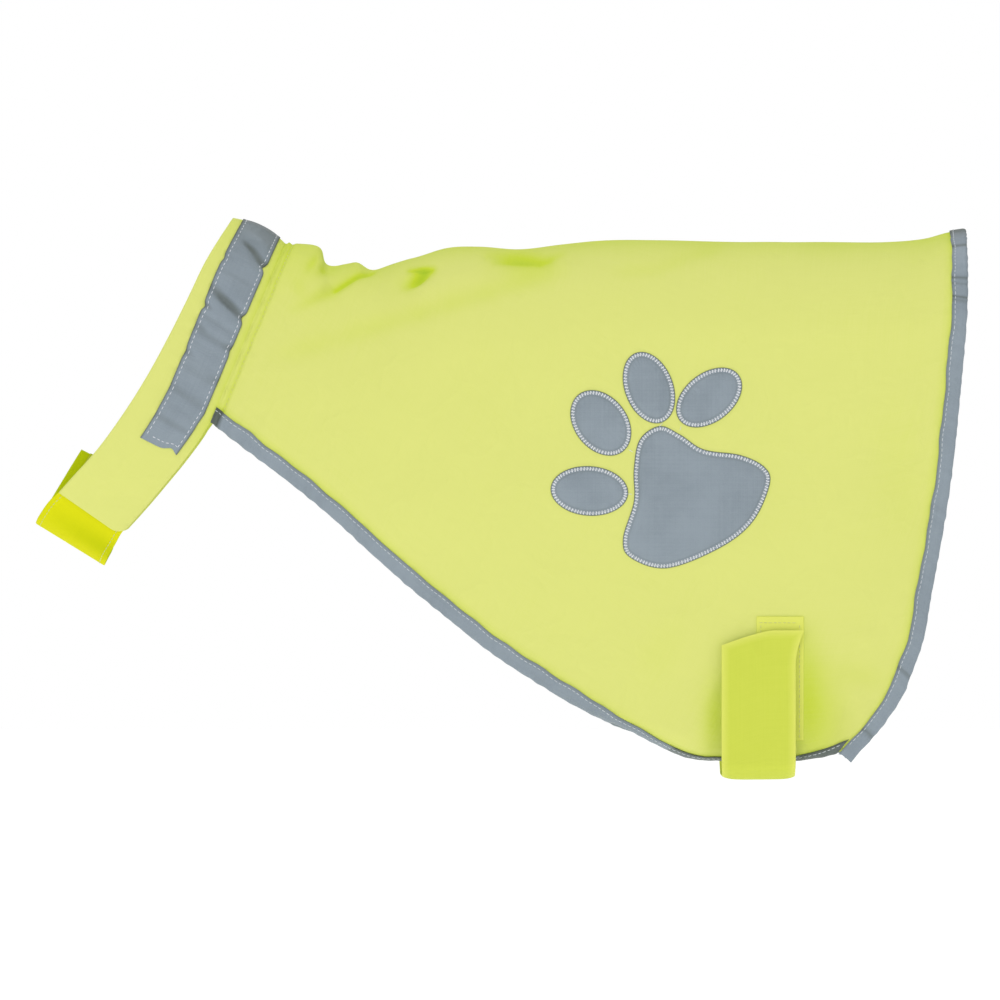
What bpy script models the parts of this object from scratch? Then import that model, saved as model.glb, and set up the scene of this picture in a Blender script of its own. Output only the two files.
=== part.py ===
"""Dog safety vest: a cape over the back, a neck band that closes under the throat, and a strap
that closes under the belly. The cloth keeps the form of the body that fills it out.

Metres, +Z up. The neck is towards -X, the rear hem towards +X, and the side with the paw, called
near below, towards -Y. The origin is on the cape's underside at the spine, where a back holds it.
"""

import math
from collections import namedtuple

import bpy
import numpy as np

# Thickness of the cloths, and the space left between pieces that are sewn or pressed together.
CAPE_CLOTH = 0.0012
BAND_CLOTH = 0.0016
STRAP_CLOTH = 0.0012
TAPE = 0.0010
GAP = 0.0003
BINDING_GAP = 0.0008
END_GAP = 0.0015

# Width of the tape folded over the edges, and how far it reaches past the cloth.
BINDING_WIDTH = 0.0105
EDGE_REACH = BINDING_GAP + TAPE
REAR_TIP = 0.0040

# How finely the cape is divided: columns from neck to rear hem, rows from spine to binding.
CAPE_COLUMNS = 32
CAPE_ROWS = 13
BINDING_ROWS = 2
ROW_SPREAD = 1.35
FINE_COLUMNS = 160
EDGE_STEP = 0.0150
LEAST_EDGE_STEP = 0.0010
LEAST_SLANT = 0.6
ARC_POINTS = 40

NEAR = -1
FAR = 1

# The cape, a row for each section from the neck seam to the rear hem. A section runs from its
# point on the spine to its point on the lower edge, both as seen from the side. half_width is
# its reach from the mid-plane, crown the share of its height that rounds over the back, tuck how
# far the side leans in towards the belly, and roll how far the lower edge turns under.
Section = namedtuple("Section", "spine_x spine_z edge_x edge_z half_width crown tuck roll")
CAPE_SECTIONS = [
    Section(-0.1890, -0.0018, -0.2310, -0.1044, 0.0550, 1.000, 0.0000, 0.0000),
    Section(-0.1800, -0.0028, -0.2196, -0.1176, 0.0580, 0.900, 0.0005, 0.0000),
    Section(-0.1680, -0.0040, -0.2052, -0.1302, 0.0610, 0.800, 0.0010, 0.0000),
    Section(-0.1560, -0.0128, -0.1902, -0.1416, 0.0630, 0.700, 0.0020, 0.0000),
    Section(-0.1428, -0.0143, -0.1740, -0.1548, 0.0650, 0.620, 0.0030, 0.0000),
    Section(-0.1290, -0.0140, -0.1572, -0.1692, 0.0670, 0.540, 0.0040, 0.0000),
    Section(-0.1140, -0.0085, -0.1392, -0.1860, 0.0690, 0.460, 0.0050, 0.0000),
    Section(-0.0960, -0.0042, -0.1188, -0.2046, 0.0710, 0.380, 0.0060, 0.0000),
    Section(-0.0720, -0.0036, -0.0918, -0.2262, 0.0725, 0.310, 0.0070, 0.0000),
    Section(-0.0480, -0.0052, -0.0648, -0.2478, 0.0730, 0.270, 0.0080, 0.0000),
    Section(-0.0240, -0.0024, -0.0390, -0.2640, 0.0730, 0.245, 0.0085, 0.0015),
    Section(0.0000, 0.0000, -0.0150, -0.2778, 0.0730, 0.230, 0.0090, 0.0040),
    Section(0.0360, 0.0003, 0.0192, -0.2952, 0.0725, 0.210, 0.0100, 0.0090),
    Section(0.0720, -0.0006, 0.0510, -0.3084, 0.0720, 0.200, 0.0100, 0.0130),
    Section(0.1080, -0.0012, 0.0798, -0.3120, 0.0710, 0.190, 0.0100, 0.0140),
    Section(0.1440, -0.0018, 0.1062, -0.3120, 0.0700, 0.190, 0.0090, 0.0130),
    Section(0.1740, -0.0010, 0.1260, -0.3096, 0.0690, 0.190, 0.0070, 0.0090),
    Section(0.1950, 0.0000, 0.1386, -0.3072, 0.0680, 0.185, 0.0050, 0.0040),
    Section(0.2100, 0.0050, 0.1444, -0.3069, 0.0675, 0.180, 0.0040, 0.0010),
    Section(0.2202, 0.0066, 0.1497, -0.3081, 0.0670, 0.180, 0.0030, 0.0000),
]
SIDE_SWELL = 0.035
ROLL_SHAPE = 0.8

# How far the rear hem bows out behind the straight line between its ends, against the share of
# its drop. The bow fades towards the neck and is gone at BOW_START.
Bow = namedtuple("Bow", "drop_share reach")
REAR_BOW = [
    Bow(0.000, 0.0000),
    Bow(0.133, 0.0104),
    Bow(0.320, 0.0181),
    Bow(0.508, 0.0245),
    Bow(0.696, 0.0274),
    Bow(0.790, 0.0286),
    Bow(0.846, 0.0262),
    Bow(0.884, 0.0243),
    Bow(0.921, 0.0192),
    Bow(0.959, 0.0109),
    Bow(1.000, 0.0000),
]
BOW_START = -0.0600
BOW_FADE = 1.5

# The largest folds, as lines on the cape seen from the side. A negative depth is a trough, and
# FOLD_END_SHARE is the part of it that is left where a line ends.
FOLD_END_SHARE = 0.35
Fold = namedtuple("Fold", "side start_x start_z end_x end_z width depth")
FOLDS = [
    Fold(NEAR, -0.1330, -0.0190, -0.1830, -0.0420, 0.0070, -0.0022),
    Fold(NEAR, -0.1140, -0.0180, -0.0980, -0.0280, 0.0070, -0.0028),
    Fold(NEAR, -0.0640, -0.0260, -0.1250, -0.0530, 0.0130, -0.0024),
    Fold(NEAR, -0.1250, -0.0530, -0.2000, -0.0730, 0.0120, -0.0020),
    Fold(NEAR, -0.1020, -0.0420, -0.1640, -0.0500, 0.0080, 0.0016),
    Fold(NEAR, -0.1560, -0.0240, -0.1900, -0.0200, 0.0080, 0.0016),
    Fold(FAR, -0.1400, -0.0210, -0.1850, -0.0500, 0.0080, -0.0024),
    Fold(FAR, -0.1080, -0.0200, -0.1240, -0.0340, 0.0070, -0.0022),
    Fold(FAR, -0.0800, -0.0300, -0.1500, -0.0600, 0.0130, -0.0026),
    Fold(FAR, -0.1100, -0.0420, -0.1700, -0.0560, 0.0080, 0.0014),
]

# The neck band lies on an oval round the neck, from the nape at an angle of 0 to the throat at
# 180. fall is 1 - cos(angle). A row gives both of the band's edges as seen from the side. The cape
# is sewn to the rear one down to a fall of 1, and the first station past it is at BAND_FREE.
NECK_HALF_WIDTH_FRONT = 0.0500
NECK_HALF_WIDTH_REAR = 0.0550
BandPlace = namedtuple("BandPlace", "fall front_x front_z rear_x rear_z")
BAND_PLACES = [
    BandPlace(0.000, -0.2208, 0.0138, -0.1890, -0.0018),
    BandPlace(0.293, -0.2373, -0.0137, -0.2013, -0.0316),
    BandPlace(0.500, -0.2469, -0.0340, -0.2098, -0.0524),
    BandPlace(0.741, -0.2586, -0.0576, -0.2197, -0.0766),
    BandPlace(1.000, -0.2723, -0.0827, -0.2316, -0.1044),
    BandPlace(1.259, -0.2875, -0.1065, -0.2459, -0.1278),
    BandPlace(1.500, -0.3033, -0.1277, -0.2624, -0.1484),
    BandPlace(1.669, -0.3158, -0.1414, -0.2744, -0.1626),
    BandPlace(1.809, -0.3252, -0.1518, -0.2880, -0.1776),
]
BAND_FREE = 96
BAND_END = 144
BAND_STEP = 8
STRIP_END = 108

# The reflective strip's two edges, as shares of the band's width from its front edge.
StripPlace = namedtuple("StripPlace", "fall front rear")
STRIP_PLACES = [
    StripPlace(0.0, 0.17, 0.86),
    StripPlace(0.5, 0.24, 0.87),
    StripPlace(1.3, 0.36, 0.88),
    StripPlace(1.9, 0.36, 0.88),
]

# The closing tab comes from under the near end of the band, turns round the throat and lies on
# the far end. lift is the height of its outer face over the band's.
TabPlace = namedtuple("TabPlace", "angle front_x front_z rear_x rear_z lift")
TAB_PLACES = [
    TabPlace(128, -0.3108, -0.1370, -0.2714, -0.1572, -0.0021),
    TabPlace(144, -0.3246, -0.1512, -0.2883, -0.1772, -0.0021),
    TabPlace(152, -0.3306, -0.1566, -0.2914, -0.1830, -0.0010),
    TabPlace(164, -0.3364, -0.1644, -0.2954, -0.1896, 0.0005),
    TabPlace(180, -0.3384, -0.1683, -0.2970, -0.1938, 0.0020),
    TabPlace(196, -0.3357, -0.1644, -0.2950, -0.1896, 0.0030),
    TabPlace(206, -0.3318, -0.1580, -0.2920, -0.1835, 0.0032),
    TabPlace(216, -0.3273, -0.1504, -0.2901, -0.1762, 0.0033),
    TabPlace(228, -0.3207, -0.1389, -0.2793, -0.1601, 0.0033),
    TabPlace(240, -0.3113, -0.1236, -0.2704, -0.1443, 0.0033),
]
HOOK_FRONT = 0.13
HOOK_REAR = 0.86
HOOK_START = 192
HOOK_END = 240

# The belly strap and the tapes that close it, as seen from the side. The strap stands off the
# cape's furthest point under it, which is looked for at STRAP_CHECKS heights within STRAP_MARGIN.
STRAP_FRONT = 0.0726
STRAP_REAR = 0.1170
STRAP_CORNER = 0.1000
STRAP_TOP_FRONT = -0.2430
STRAP_TOP = -0.2340
STRAP_FLARE = 0.0050
STRAP_FLARE_END = -0.2600
STRAP_COLUMNS = 4
STRAP_DOWN_STATIONS = 6
STRAP_TURN_STATIONS = 7
STRAP_FLAT_STATIONS = 6
STRAP_UP_STATIONS = 3
STRAP_CHECKS = 12
STRAP_MARGIN = 0.0080
STRAP_BEND_TOP = -0.3130
STRAP_BOTTOM = -0.3237
STRAP_BEND_REACH = 0.0150
STRAP_FAR_TOP = -0.2660
BELLY_HOOK_SHIFT = 0.0028
PATCH_FRONT = 0.0936
PATCH_REAR = 0.1218
PATCH_TOP = -0.2256
PATCH_BOTTOM = -0.3000

# The paw: four oval toes and a pad, as seen from the near side. tilt is in degrees from +X.
Toe = namedtuple("Toe", "name centre_x centre_z half_length half_breadth tilt")
TOES = [
    Toe("toe_1", -0.0065, -0.1506, 0.0232, 0.0148, -4),
    Toe("toe_2", 0.0003, -0.1099, 0.0216, 0.0158, -52),
    Toe("toe_3", 0.0291, -0.0888, 0.0222, 0.0145, -69),
    Toe("toe_4", 0.0651, -0.0947, 0.0223, 0.0146, 38),
]
TOE_SIDES = 28
PadPoint = namedtuple("PadPoint", "x z")
PAD_OUTLINE = [
    PadPoint(0.0354, -0.1113),
    PadPoint(0.0524, -0.1167),
    PadPoint(0.0654, -0.1296),
    PadPoint(0.0852, -0.1328),
    PadPoint(0.1008, -0.1452),
    PadPoint(0.0912, -0.1680),
    PadPoint(0.0720, -0.1872),
    PadPoint(0.0420, -0.1968),
    PadPoint(0.0180, -0.1890),
    PadPoint(0.0135, -0.1764),
    PadPoint(0.0210, -0.1596),
    PadPoint(0.0212, -0.1422),
    PadPoint(0.0222, -0.1230),
]
PAD_STEPS = 4

# What a piece is cut from on the cape's near side: cells past its outline, and the outline's depth.
BLOCK_MARGIN = 2
CUTTER_REACH = 0.0300

Colour = namedtuple("Colour", "red green blue roughness")
COLOURS = {
    "lime_cloth": Colour(0.74, 0.78, 0.10, 0.85),
    "grey_reflective": Colour(0.28, 0.34, 0.37, 0.45),
    "lime_hook_tape": Colour(0.60, 0.62, 0.02, 0.90),
}


def clear_scene():
    for thing in list(bpy.data.objects):
        bpy.data.objects.remove(thing, do_unlink=True)


def material(name):
    made = bpy.data.materials.get(name)
    if made is None:
        colour = COLOURS[name]
        made = bpy.data.materials.new(name)
        made.use_nodes = True
        surface = made.node_tree.nodes["Principled BSDF"]
        surface.inputs["Base Color"].default_value = (colour.red, colour.green, colour.blue, 1)
        surface.inputs["Roughness"].default_value = colour.roughness
        surface.inputs["Metallic"].default_value = 0.0
    return made


def on_curve(table, place):
    """The row at a place along a table's first column, on a smooth curve through its rows."""
    rows = np.array(table, dtype=float)
    stations = rows[:, 0]
    slopes = np.gradient(rows, stations, axis=0)
    before = int(np.clip(np.searchsorted(stations, place) - 1, 0, len(rows) - 2))
    span = stations[before + 1] - stations[before]
    t = (place - stations[before]) / span
    value = (
        (2 * t**3 - 3 * t**2 + 1) * rows[before]
        + (t**3 - 2 * t**2 + t) * span * slopes[before]
        + (3 * t**2 - 2 * t**3) * rows[before + 1]
        + (t**3 - t**2) * span * slopes[before + 1]
    )
    return type(table[0])(*value)


def unit(vectors):
    return vectors / np.maximum(np.linalg.norm(vectors, axis=-1, keepdims=True), 1e-12)


def normals(grid):
    """Unit normals at the points of a grid, on the side that shell takes as its outer one."""
    return unit(np.cross(np.gradient(grid, axis=0), np.gradient(grid, axis=1)))


def moved_out(grid, distance):
    """The grid moved along its normals, in where the distance is negative."""
    return grid + normals(grid) * distance


def grid_faces(rows, columns, first, flipped, turned):
    """Two triangles for each cell of a grid. Rows of cells in turned are cut along the other
    diagonal, so that a tape's triangles lie over those of the cloth that it is folded on."""
    faces = []
    for i in range(rows - 1):
        for j in range(columns - 1):
            a = first + i * columns + j
            b = a + columns
            halves = ((a, b, b + 1), (a, b + 1, a + 1))
            if i in turned:
                halves = ((a, b, a + 1), (b, b + 1, a + 1))
            for face in halves:
                faces.append(face[::-1] if flipped else face)
    return faces


def shell(name, outer, inner, colour, turned=()):
    """A closed wall between two grids of the same shape, the outer one facing out."""
    rows, columns = outer.shape[:2]
    count = rows * columns
    rim = [i * columns for i in range(rows)]
    rim += [(rows - 1) * columns + j for j in range(1, columns)]
    rim += [i * columns + columns - 1 for i in range(rows - 2, -1, -1)]
    rim += list(range(columns - 2, 0, -1))
    faces = grid_faces(rows, columns, 0, False, turned)
    faces += grid_faces(rows, columns, count, True, turned)
    for here, after in zip(rim, rim[1:] + rim[:1]):
        faces += [(after, here, here + count), (after, here + count, after + count)]
    points = np.concatenate([outer.reshape(-1, 3), inner.reshape(-1, 3)])
    return mesh_object(name, points, faces, colour)


def mesh_object(name, points, faces, colour):
    mesh = bpy.data.meshes.new(name)
    mesh.from_pydata([tuple(point) for point in points], [], faces)
    mesh.validate()
    mesh.shade_smooth()
    made = bpy.data.objects.new(name, mesh)
    bpy.context.collection.objects.link(made)
    made.data.materials.append(material(colour))
    return made


def cape_profile(section, height):
    """Drop from the spine and reach from the mid-plane, as closely spaced points down a section."""
    crown = section.crown * height
    roll = max(section.roll, 0.0)
    roll_height = ROLL_SHAPE * roll
    turn = np.linspace(0, math.pi / 2, ARC_POINTS)
    share = np.linspace(0, 1, ARC_POINTS)
    swell = SIDE_SWELL * (1 - section.crown) * section.half_width
    side_reach = section.half_width + swell * np.sin(math.pi * share) - section.tuck * share**2
    drop = np.concatenate([
        crown * (1 - np.cos(turn)),
        crown + (height - crown - roll_height) * share[1:],
        height - roll_height * (1 - np.sin(turn[1:])),
    ])
    reach = np.concatenate([
        section.half_width * np.sin(turn),
        side_reach[1:],
        side_reach[-1] - roll * (1 - np.cos(turn[1:])),
    ])
    return drop, reach


def section_rows(place):
    """The points of one section at a place along the spine: from the spine to the binding, closer
    together over the back, then across the binding to the lower edge."""
    section = on_curve(CAPE_SECTIONS, place)
    step = max(min(EDGE_STEP, place - CAPE_SECTIONS[0].spine_x), LEAST_EDGE_STEP)
    behind = on_curve(CAPE_SECTIONS, place - step)
    spine = np.array([section.spine_x, section.spine_z])
    edge = np.array([section.edge_x, section.edge_z])
    along_edge = unit(edge - np.array([behind.edge_x, behind.edge_z]))
    height = np.linalg.norm(edge - spine)
    down = (edge - spine) / height
    slant = abs(down[0] * along_edge[1] - down[1] * along_edge[0])
    drop, reach = cape_profile(section, height)
    length = np.concatenate([[0], np.cumsum(np.hypot(np.diff(drop), np.diff(reach)))])
    end = length[-1] - EDGE_REACH
    binding = BINDING_WIDTH / max(slant, LEAST_SLANT)
    wanted = np.concatenate([
        (end - binding) * np.linspace(0, 1, CAPE_ROWS + 1) ** ROW_SPREAD,
        np.linspace(end - binding, end, BINDING_ROWS + 1)[1:],
    ])
    drops = np.interp(wanted, length, drop)
    reaches = np.interp(wanted, length, reach)
    fade = max(0.0, (place - BOW_START) / (CAPE_SECTIONS[-1].spine_x - BOW_START)) ** BOW_FADE
    bows = np.array([on_curve(REAR_BOW, share).reach for share in drops / height]) * fade
    flat = spine + np.outer(drops, down)
    return np.column_stack([flat[:, 0] + bows, reaches, flat[:, 1] + CAPE_CLOTH])


def half_cape():
    """The form of one side as columns of rows. The last two columns are the rear binding's edges,
    and the one before them is where the front binding ends."""
    places = np.linspace(CAPE_SECTIONS[0].spine_x, CAPE_SECTIONS[-1].spine_x, FINE_COLUMNS)
    fine = np.array([section_rows(place) for place in places])
    rear_edge = unit(np.gradient(fine[-1], axis=0))
    grid = []
    for row in range(fine.shape[1]):
        line = fine[:, row]
        steps = np.linalg.norm(np.diff(line, axis=0), axis=1)
        along = np.concatenate([[0], np.cumsum(steps)])
        towards_rear = unit(line[-1] - line[-2])
        slant = np.linalg.norm(np.cross(towards_rear, rear_edge[row]))
        end = along[-1] - EDGE_REACH / max(slant, LEAST_SLANT)
        binding = BINDING_WIDTH / max(slant, LEAST_SLANT)
        wanted = np.append(np.linspace(0, end - binding - END_GAP, CAPE_COLUMNS), (end - binding, end))
        grid.append([[np.interp(w, along, line[:, axis]) for axis in range(3)] for w in wanted])
    return np.array(grid).transpose(1, 0, 2)


def fold_height(points, side):
    """How far the folds of one side move each point out along its normal."""
    total = np.zeros(points.shape[:-1])
    flat = points[..., [0, 2]]
    for fold in FOLDS:
        if fold.side != side:
            continue
        start = np.array([fold.start_x, fold.start_z])
        line = np.array([fold.end_x, fold.end_z]) - start
        share = np.clip(((flat - start) @ line) / (line @ line), 0, 1)
        away = np.linalg.norm(flat - start - share[..., None] * line, axis=-1)
        ends = FOLD_END_SHARE + (1 - FOLD_END_SHARE) * np.sin(math.pi * share)
        total += fold.depth * ends * np.exp(-((away / fold.width) ** 2))
    return total


def cape_grid():
    """The cape's outer face as columns from neck to rear, and rows from the near lower edge over
    the spine to the far one."""
    half = half_cape()
    near = half * (1, NEAR, 1)
    whole = np.concatenate([near[:, ::-1], half[:, 1:]], axis=1)
    spine_row = half.shape[1] - 1
    lift = np.zeros(whole.shape[:2])
    lift[:, :spine_row] = fold_height(whole[:, :spine_row], NEAR)
    lift[:, spine_row + 1:] = fold_height(whole[:, spine_row + 1:], FAR)
    lift[:2] = 0
    return whole + normals(whole) * lift[..., None]


def wrapped(face, back, reach):
    """A tape's surface folded over an edge: along the face, round the edge, and along the back.
    The first row of face and back is the edge itself. reach is its distance from the cloth."""
    out = unit(face[0] - face[1]) * reach
    lift = unit(face - back) * reach
    on_face = (face + lift)[::-1]
    on_back = back - lift
    round_edge = np.array([on_face[-1] + out, on_back[0] + out])
    return np.concatenate([on_face, round_edge, on_back])


def build_cape(cape):
    under = moved_out(cape, -CAPE_CLOTH)
    shell("cape", cape, under, "lime_cloth")
    near_face = cape[:-2, :BINDING_ROWS + 1].transpose(1, 0, 2)
    near_back = under[:-2, :BINDING_ROWS + 1].transpose(1, 0, 2)
    far_face = cape[:-2, :-BINDING_ROWS - 2:-1].transpose(1, 0, 2)
    far_back = under[:-2, :-BINDING_ROWS - 2:-1].transpose(1, 0, 2)
    build_front_binding("front_binding_near", near_face, near_back, False)
    build_front_binding("front_binding_far", far_face, far_back, True)
    rear_face = cape[::-1][:2]
    rear_back = under[::-1][:2]
    outer = wrapped(rear_face, rear_back, BINDING_GAP + TAPE)
    inner = wrapped(rear_face, rear_back, BINDING_GAP)
    shell("rear_binding", with_tips(outer), with_tips(inner), "grey_reflective", turned=(2, 4))


def with_tips(grid):
    """The rear binding's surface, run on past both lower corners of the cape."""
    near_tip = grid[:, :1] + unit(grid[:, :1] - grid[:, 1:2]) * REAR_TIP
    far_tip = grid[:, -1:] + unit(grid[:, -1:] - grid[:, -2:-1]) * REAR_TIP
    return np.concatenate([near_tip, grid, far_tip], axis=1)


def build_front_binding(name, face, back, flipped):
    """The tape over a lower edge, stopping short of the rear binding and of the neck band."""
    outer = wrapped(face, back, BINDING_GAP + TAPE)
    inner = wrapped(face, back, BINDING_GAP)
    for grid in (outer, inner):
        grid[:, 0] += unit(grid[:, 1] - grid[:, 0]) * GAP
    if flipped:
        outer = outer[::-1]
        inner = inner[::-1]
    edge_cell = BINDING_ROWS + 1
    face_cells = range(edge_cell + 2, 2 * edge_cell + 1) if flipped else range(BINDING_ROWS)
    shell(name, outer, inner, "grey_reflective", turned=(edge_cell, *face_cells))


def neck_point(front_x, front_z, rear_x, rear_z, angle, share):
    """A point on the neck's oval, at a share of the width from the front edge."""
    reach = NECK_HALF_WIDTH_FRONT + (NECK_HALF_WIDTH_REAR - NECK_HALF_WIDTH_FRONT) * share
    return [
        front_x + (rear_x - front_x) * share,
        reach * math.sin(math.radians(angle)),
        front_z + (rear_z - front_z) * share + CAPE_CLOTH,
    ]


def band_grid(cape):
    """The neck band's outer face: stations from the near end over the nape to the far end, and
    rows from the rear edge to the front one, the two in the middle the strip's edges."""
    spine_row = cape.shape[1] // 2
    seam = cape[0, spine_row:]
    half = []
    for point in seam:
        angle = math.degrees(math.asin(min(1.0, point[1] / NECK_HALF_WIDTH_REAR)))
        half.append((angle, point))
    half += [(angle, None) for angle in range(BAND_FREE, BAND_END + 1, BAND_STEP)]
    half.append((STRIP_END, None))
    half.sort(key=lambda row: row[0])
    stations = []
    for angle, seam_point in half:
        fall = 1 - math.cos(math.radians(angle))
        place = on_curve(BAND_PLACES, fall)
        edges = (place.front_x, place.front_z, place.rear_x, place.rear_z)
        front = np.array(neck_point(*edges, angle, 0))
        rear = np.array(neck_point(*edges, angle, 1))
        if seam_point is not None:
            rear = seam_point + unit(front - seam_point) * GAP
        strip = on_curve(STRIP_PLACES, fall)
        shares = (1, strip.rear, strip.front, 0)
        stations.append([front + (rear - front) * share for share in shares])
    half_grid = np.array(stations)
    near = half_grid * (1, NEAR, 1)
    angles = np.array([angle for angle, _ in half])
    whole = np.concatenate([near[::-1], half_grid[1:]])
    return whole, np.concatenate([-angles[::-1], angles[1:]])


def build_neck(cape):
    band, angles = band_grid(cape)
    shell("collar_band", band, moved_out(band, -BAND_CLOTH), "lime_cloth")
    under_strip = np.abs(angles) < STRIP_END + BAND_STEP / 4
    strip = moved_out(band, GAP)[under_strip][:, 1:3]
    strip_top = moved_out(band, GAP + TAPE)[under_strip][:, 1:3]
    shell("collar_strip", strip_top, strip, "grey_reflective")
    build_throat_tab()


def build_throat_tab():
    angles = np.arange(TAB_PLACES[0].angle, TAB_PLACES[-1].angle + 1, BAND_STEP)
    grid = []
    lifts = []
    for angle in angles:
        place = on_curve(TAB_PLACES, angle)
        edges = (place.front_x, place.front_z, place.rear_x, place.rear_z)
        grid.append([neck_point(*edges, -angle, share) for share in (1, HOOK_REAR, HOOK_FRONT, 0)])
        lifts.append(place.lift)
    form = np.array(grid)[::-1]
    lift = np.array(lifts)[::-1][:, None, None]
    angles = angles[::-1]
    facing = normals(form)
    outer = form + facing * lift
    inner = outer - facing * STRAP_CLOTH
    shell("throat_tab", outer, inner, "lime_cloth")
    hooked = (angles >= HOOK_START) & (angles <= HOOK_END)
    hook_back = (inner - facing * GAP)[hooked][:, 1:3]
    hook_face = (inner - facing * (GAP + TAPE))[hooked][:, 1:3]
    shell("throat_hook", hook_back, hook_face, "lime_hook_tape")


def near_block(cape, low, high):
    """The block of the cape's grid that covers, on the near side, an area seen from the side."""
    spine_row = cape.shape[1] // 2
    flat = cape[:, :spine_row + 1][..., [0, 2]]
    inside = ((flat > low) & (flat < high)).all(axis=-1)
    columns = np.flatnonzero(inside.any(axis=1))
    rows = np.flatnonzero(inside.any(axis=0))
    first_column = max(columns[0] - BLOCK_MARGIN, 0)
    first_row = max(rows[0] - BLOCK_MARGIN, 0)
    last_row = min(rows[-1] + BLOCK_MARGIN, spine_row)
    return slice(first_column, columns[-1] + BLOCK_MARGIN + 1), slice(first_row, last_row + 1)


def applied_on_cape(name, cape, outline, colour):
    """A piece sewn on the near side: a wall over the cape, cut to an outline seen from the side."""
    flat = np.array(outline)
    low, high = flat.min(axis=0), flat.max(axis=0)
    columns, rows = near_block(cape, low, high)
    inner = moved_out(cape, GAP)[columns, rows]
    outer = moved_out(cape, GAP + TAPE)[columns, rows]
    piece = shell(name, outer, inner, colour)
    reach = inner[..., 1].min() - CUTTER_REACH, inner[..., 1].max() + CUTTER_REACH
    count = len(flat)
    points = [(x, y, z) for y in reach for x, z in flat]
    sides = [(i, (i + 1) % count, (i + 1) % count + count, i + count) for i in range(count)]
    faces = [tuple(range(count))[::-1], tuple(range(count, 2 * count))] + sides
    cutter = mesh_object(name + "_outline", points, faces, colour)
    cutter.hide_render = True
    cutter.display_type = "WIRE"
    turned = sum(
        flat[i][0] * flat[(i + 1) % count][1] - flat[(i + 1) % count][0] * flat[i][1]
        for i in range(count)
    )
    if turned > 0:
        cutter.data.flip_normals()
    cut = piece.modifiers.new("outline", "BOOLEAN")
    cut.operation = "INTERSECT"
    cut.object = cutter
    return piece


def toe_outline(toe):
    tilt = math.radians(toe.tilt)
    points = []
    for step in range(TOE_SIDES):
        turn = 2 * math.pi * step / TOE_SIDES
        along = toe.half_length * math.cos(turn)
        across = toe.half_breadth * math.sin(turn)
        points.append((
            toe.centre_x + along * math.cos(tilt) - across * math.sin(tilt),
            toe.centre_z + along * math.sin(tilt) + across * math.cos(tilt) + CAPE_CLOTH,
        ))
    return points


def pad_outline():
    """The pad's outline, smooth through its points."""
    count = len(PAD_OUTLINE)
    points = []
    for i in range(count):
        a, b, c, d = (np.array(PAD_OUTLINE[(i + k) % count]) for k in (-1, 0, 1, 2))
        for step in range(PAD_STEPS):
            t = step / PAD_STEPS
            point = 0.5 * (
                2 * b + (c - a) * t + (2 * a - 5 * b + 4 * c - d) * t**2
                + (3 * b - a - 3 * c + d) * t**3
            )
            points.append((point[0], point[1] + CAPE_CLOTH))
    return points


def build_paw(cape):
    for toe in TOES:
        applied_on_cape(toe.name, cape, toe_outline(toe), "grey_reflective")
    applied_on_cape("paw_pad", cape, pad_outline(), "grey_reflective")


def side_reach(cape, side, low_z, high_z):
    """The cape's furthest reach from the mid-plane under the strap, between two heights."""
    spine_row = cape.shape[1] // 2
    furthest = 0.0
    for column in cape[:, spine_row::side][:, ::-1]:
        for z in np.linspace(low_z, high_z, STRAP_CHECKS):
            x = np.interp(z, column[:, 2], column[:, 0])
            if STRAP_FRONT - STRAP_MARGIN < x < STRAP_REAR + STRAP_MARGIN:
                furthest = max(furthest, abs(np.interp(z, column[:, 2], column[:, 1])))
    return furthest


def strap_path(cape):
    """The middle of the strap's outer face in Y and Z, from its near end under the belly to its
    far end, as one list of stations."""
    stack = 2 * (GAP + TAPE) + GAP + STRAP_CLOTH
    near_y = -(side_reach(cape, NEAR, STRAP_BEND_TOP, STRAP_TOP + CAPE_CLOTH) + stack)
    far_y = side_reach(cape, FAR, STRAP_BEND_TOP, STRAP_FAR_TOP + CAPE_CLOTH) + GAP + STRAP_CLOTH
    turn = np.linspace(0, math.pi / 2, STRAP_TURN_STATIONS)
    depth = STRAP_BEND_TOP - STRAP_BOTTOM
    heights = np.linspace(STRAP_TOP, STRAP_BEND_TOP, STRAP_DOWN_STATIONS + 1)
    down = [(near_y, z) for z in heights[:-1]]
    bend = [
        (near_y + STRAP_BEND_REACH * (1 - math.cos(a)), STRAP_BEND_TOP - depth * math.sin(a))
        for a in turn
    ]
    across = np.linspace(bend[-1][0], far_y - STRAP_BEND_REACH, STRAP_FLAT_STATIONS + 2)
    flat = [(y, STRAP_BOTTOM) for y in across[1:-1]]
    rise = [
        (far_y - STRAP_BEND_REACH * (1 - math.cos(a)), STRAP_BEND_TOP - depth * math.sin(a))
        for a in turn[::-1]
    ]
    heights = np.linspace(STRAP_BEND_TOP, STRAP_FAR_TOP, STRAP_UP_STATIONS + 1)
    up = [(far_y, z) for z in heights[1:]]
    return np.array(down + bend + flat + rise + up)


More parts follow.
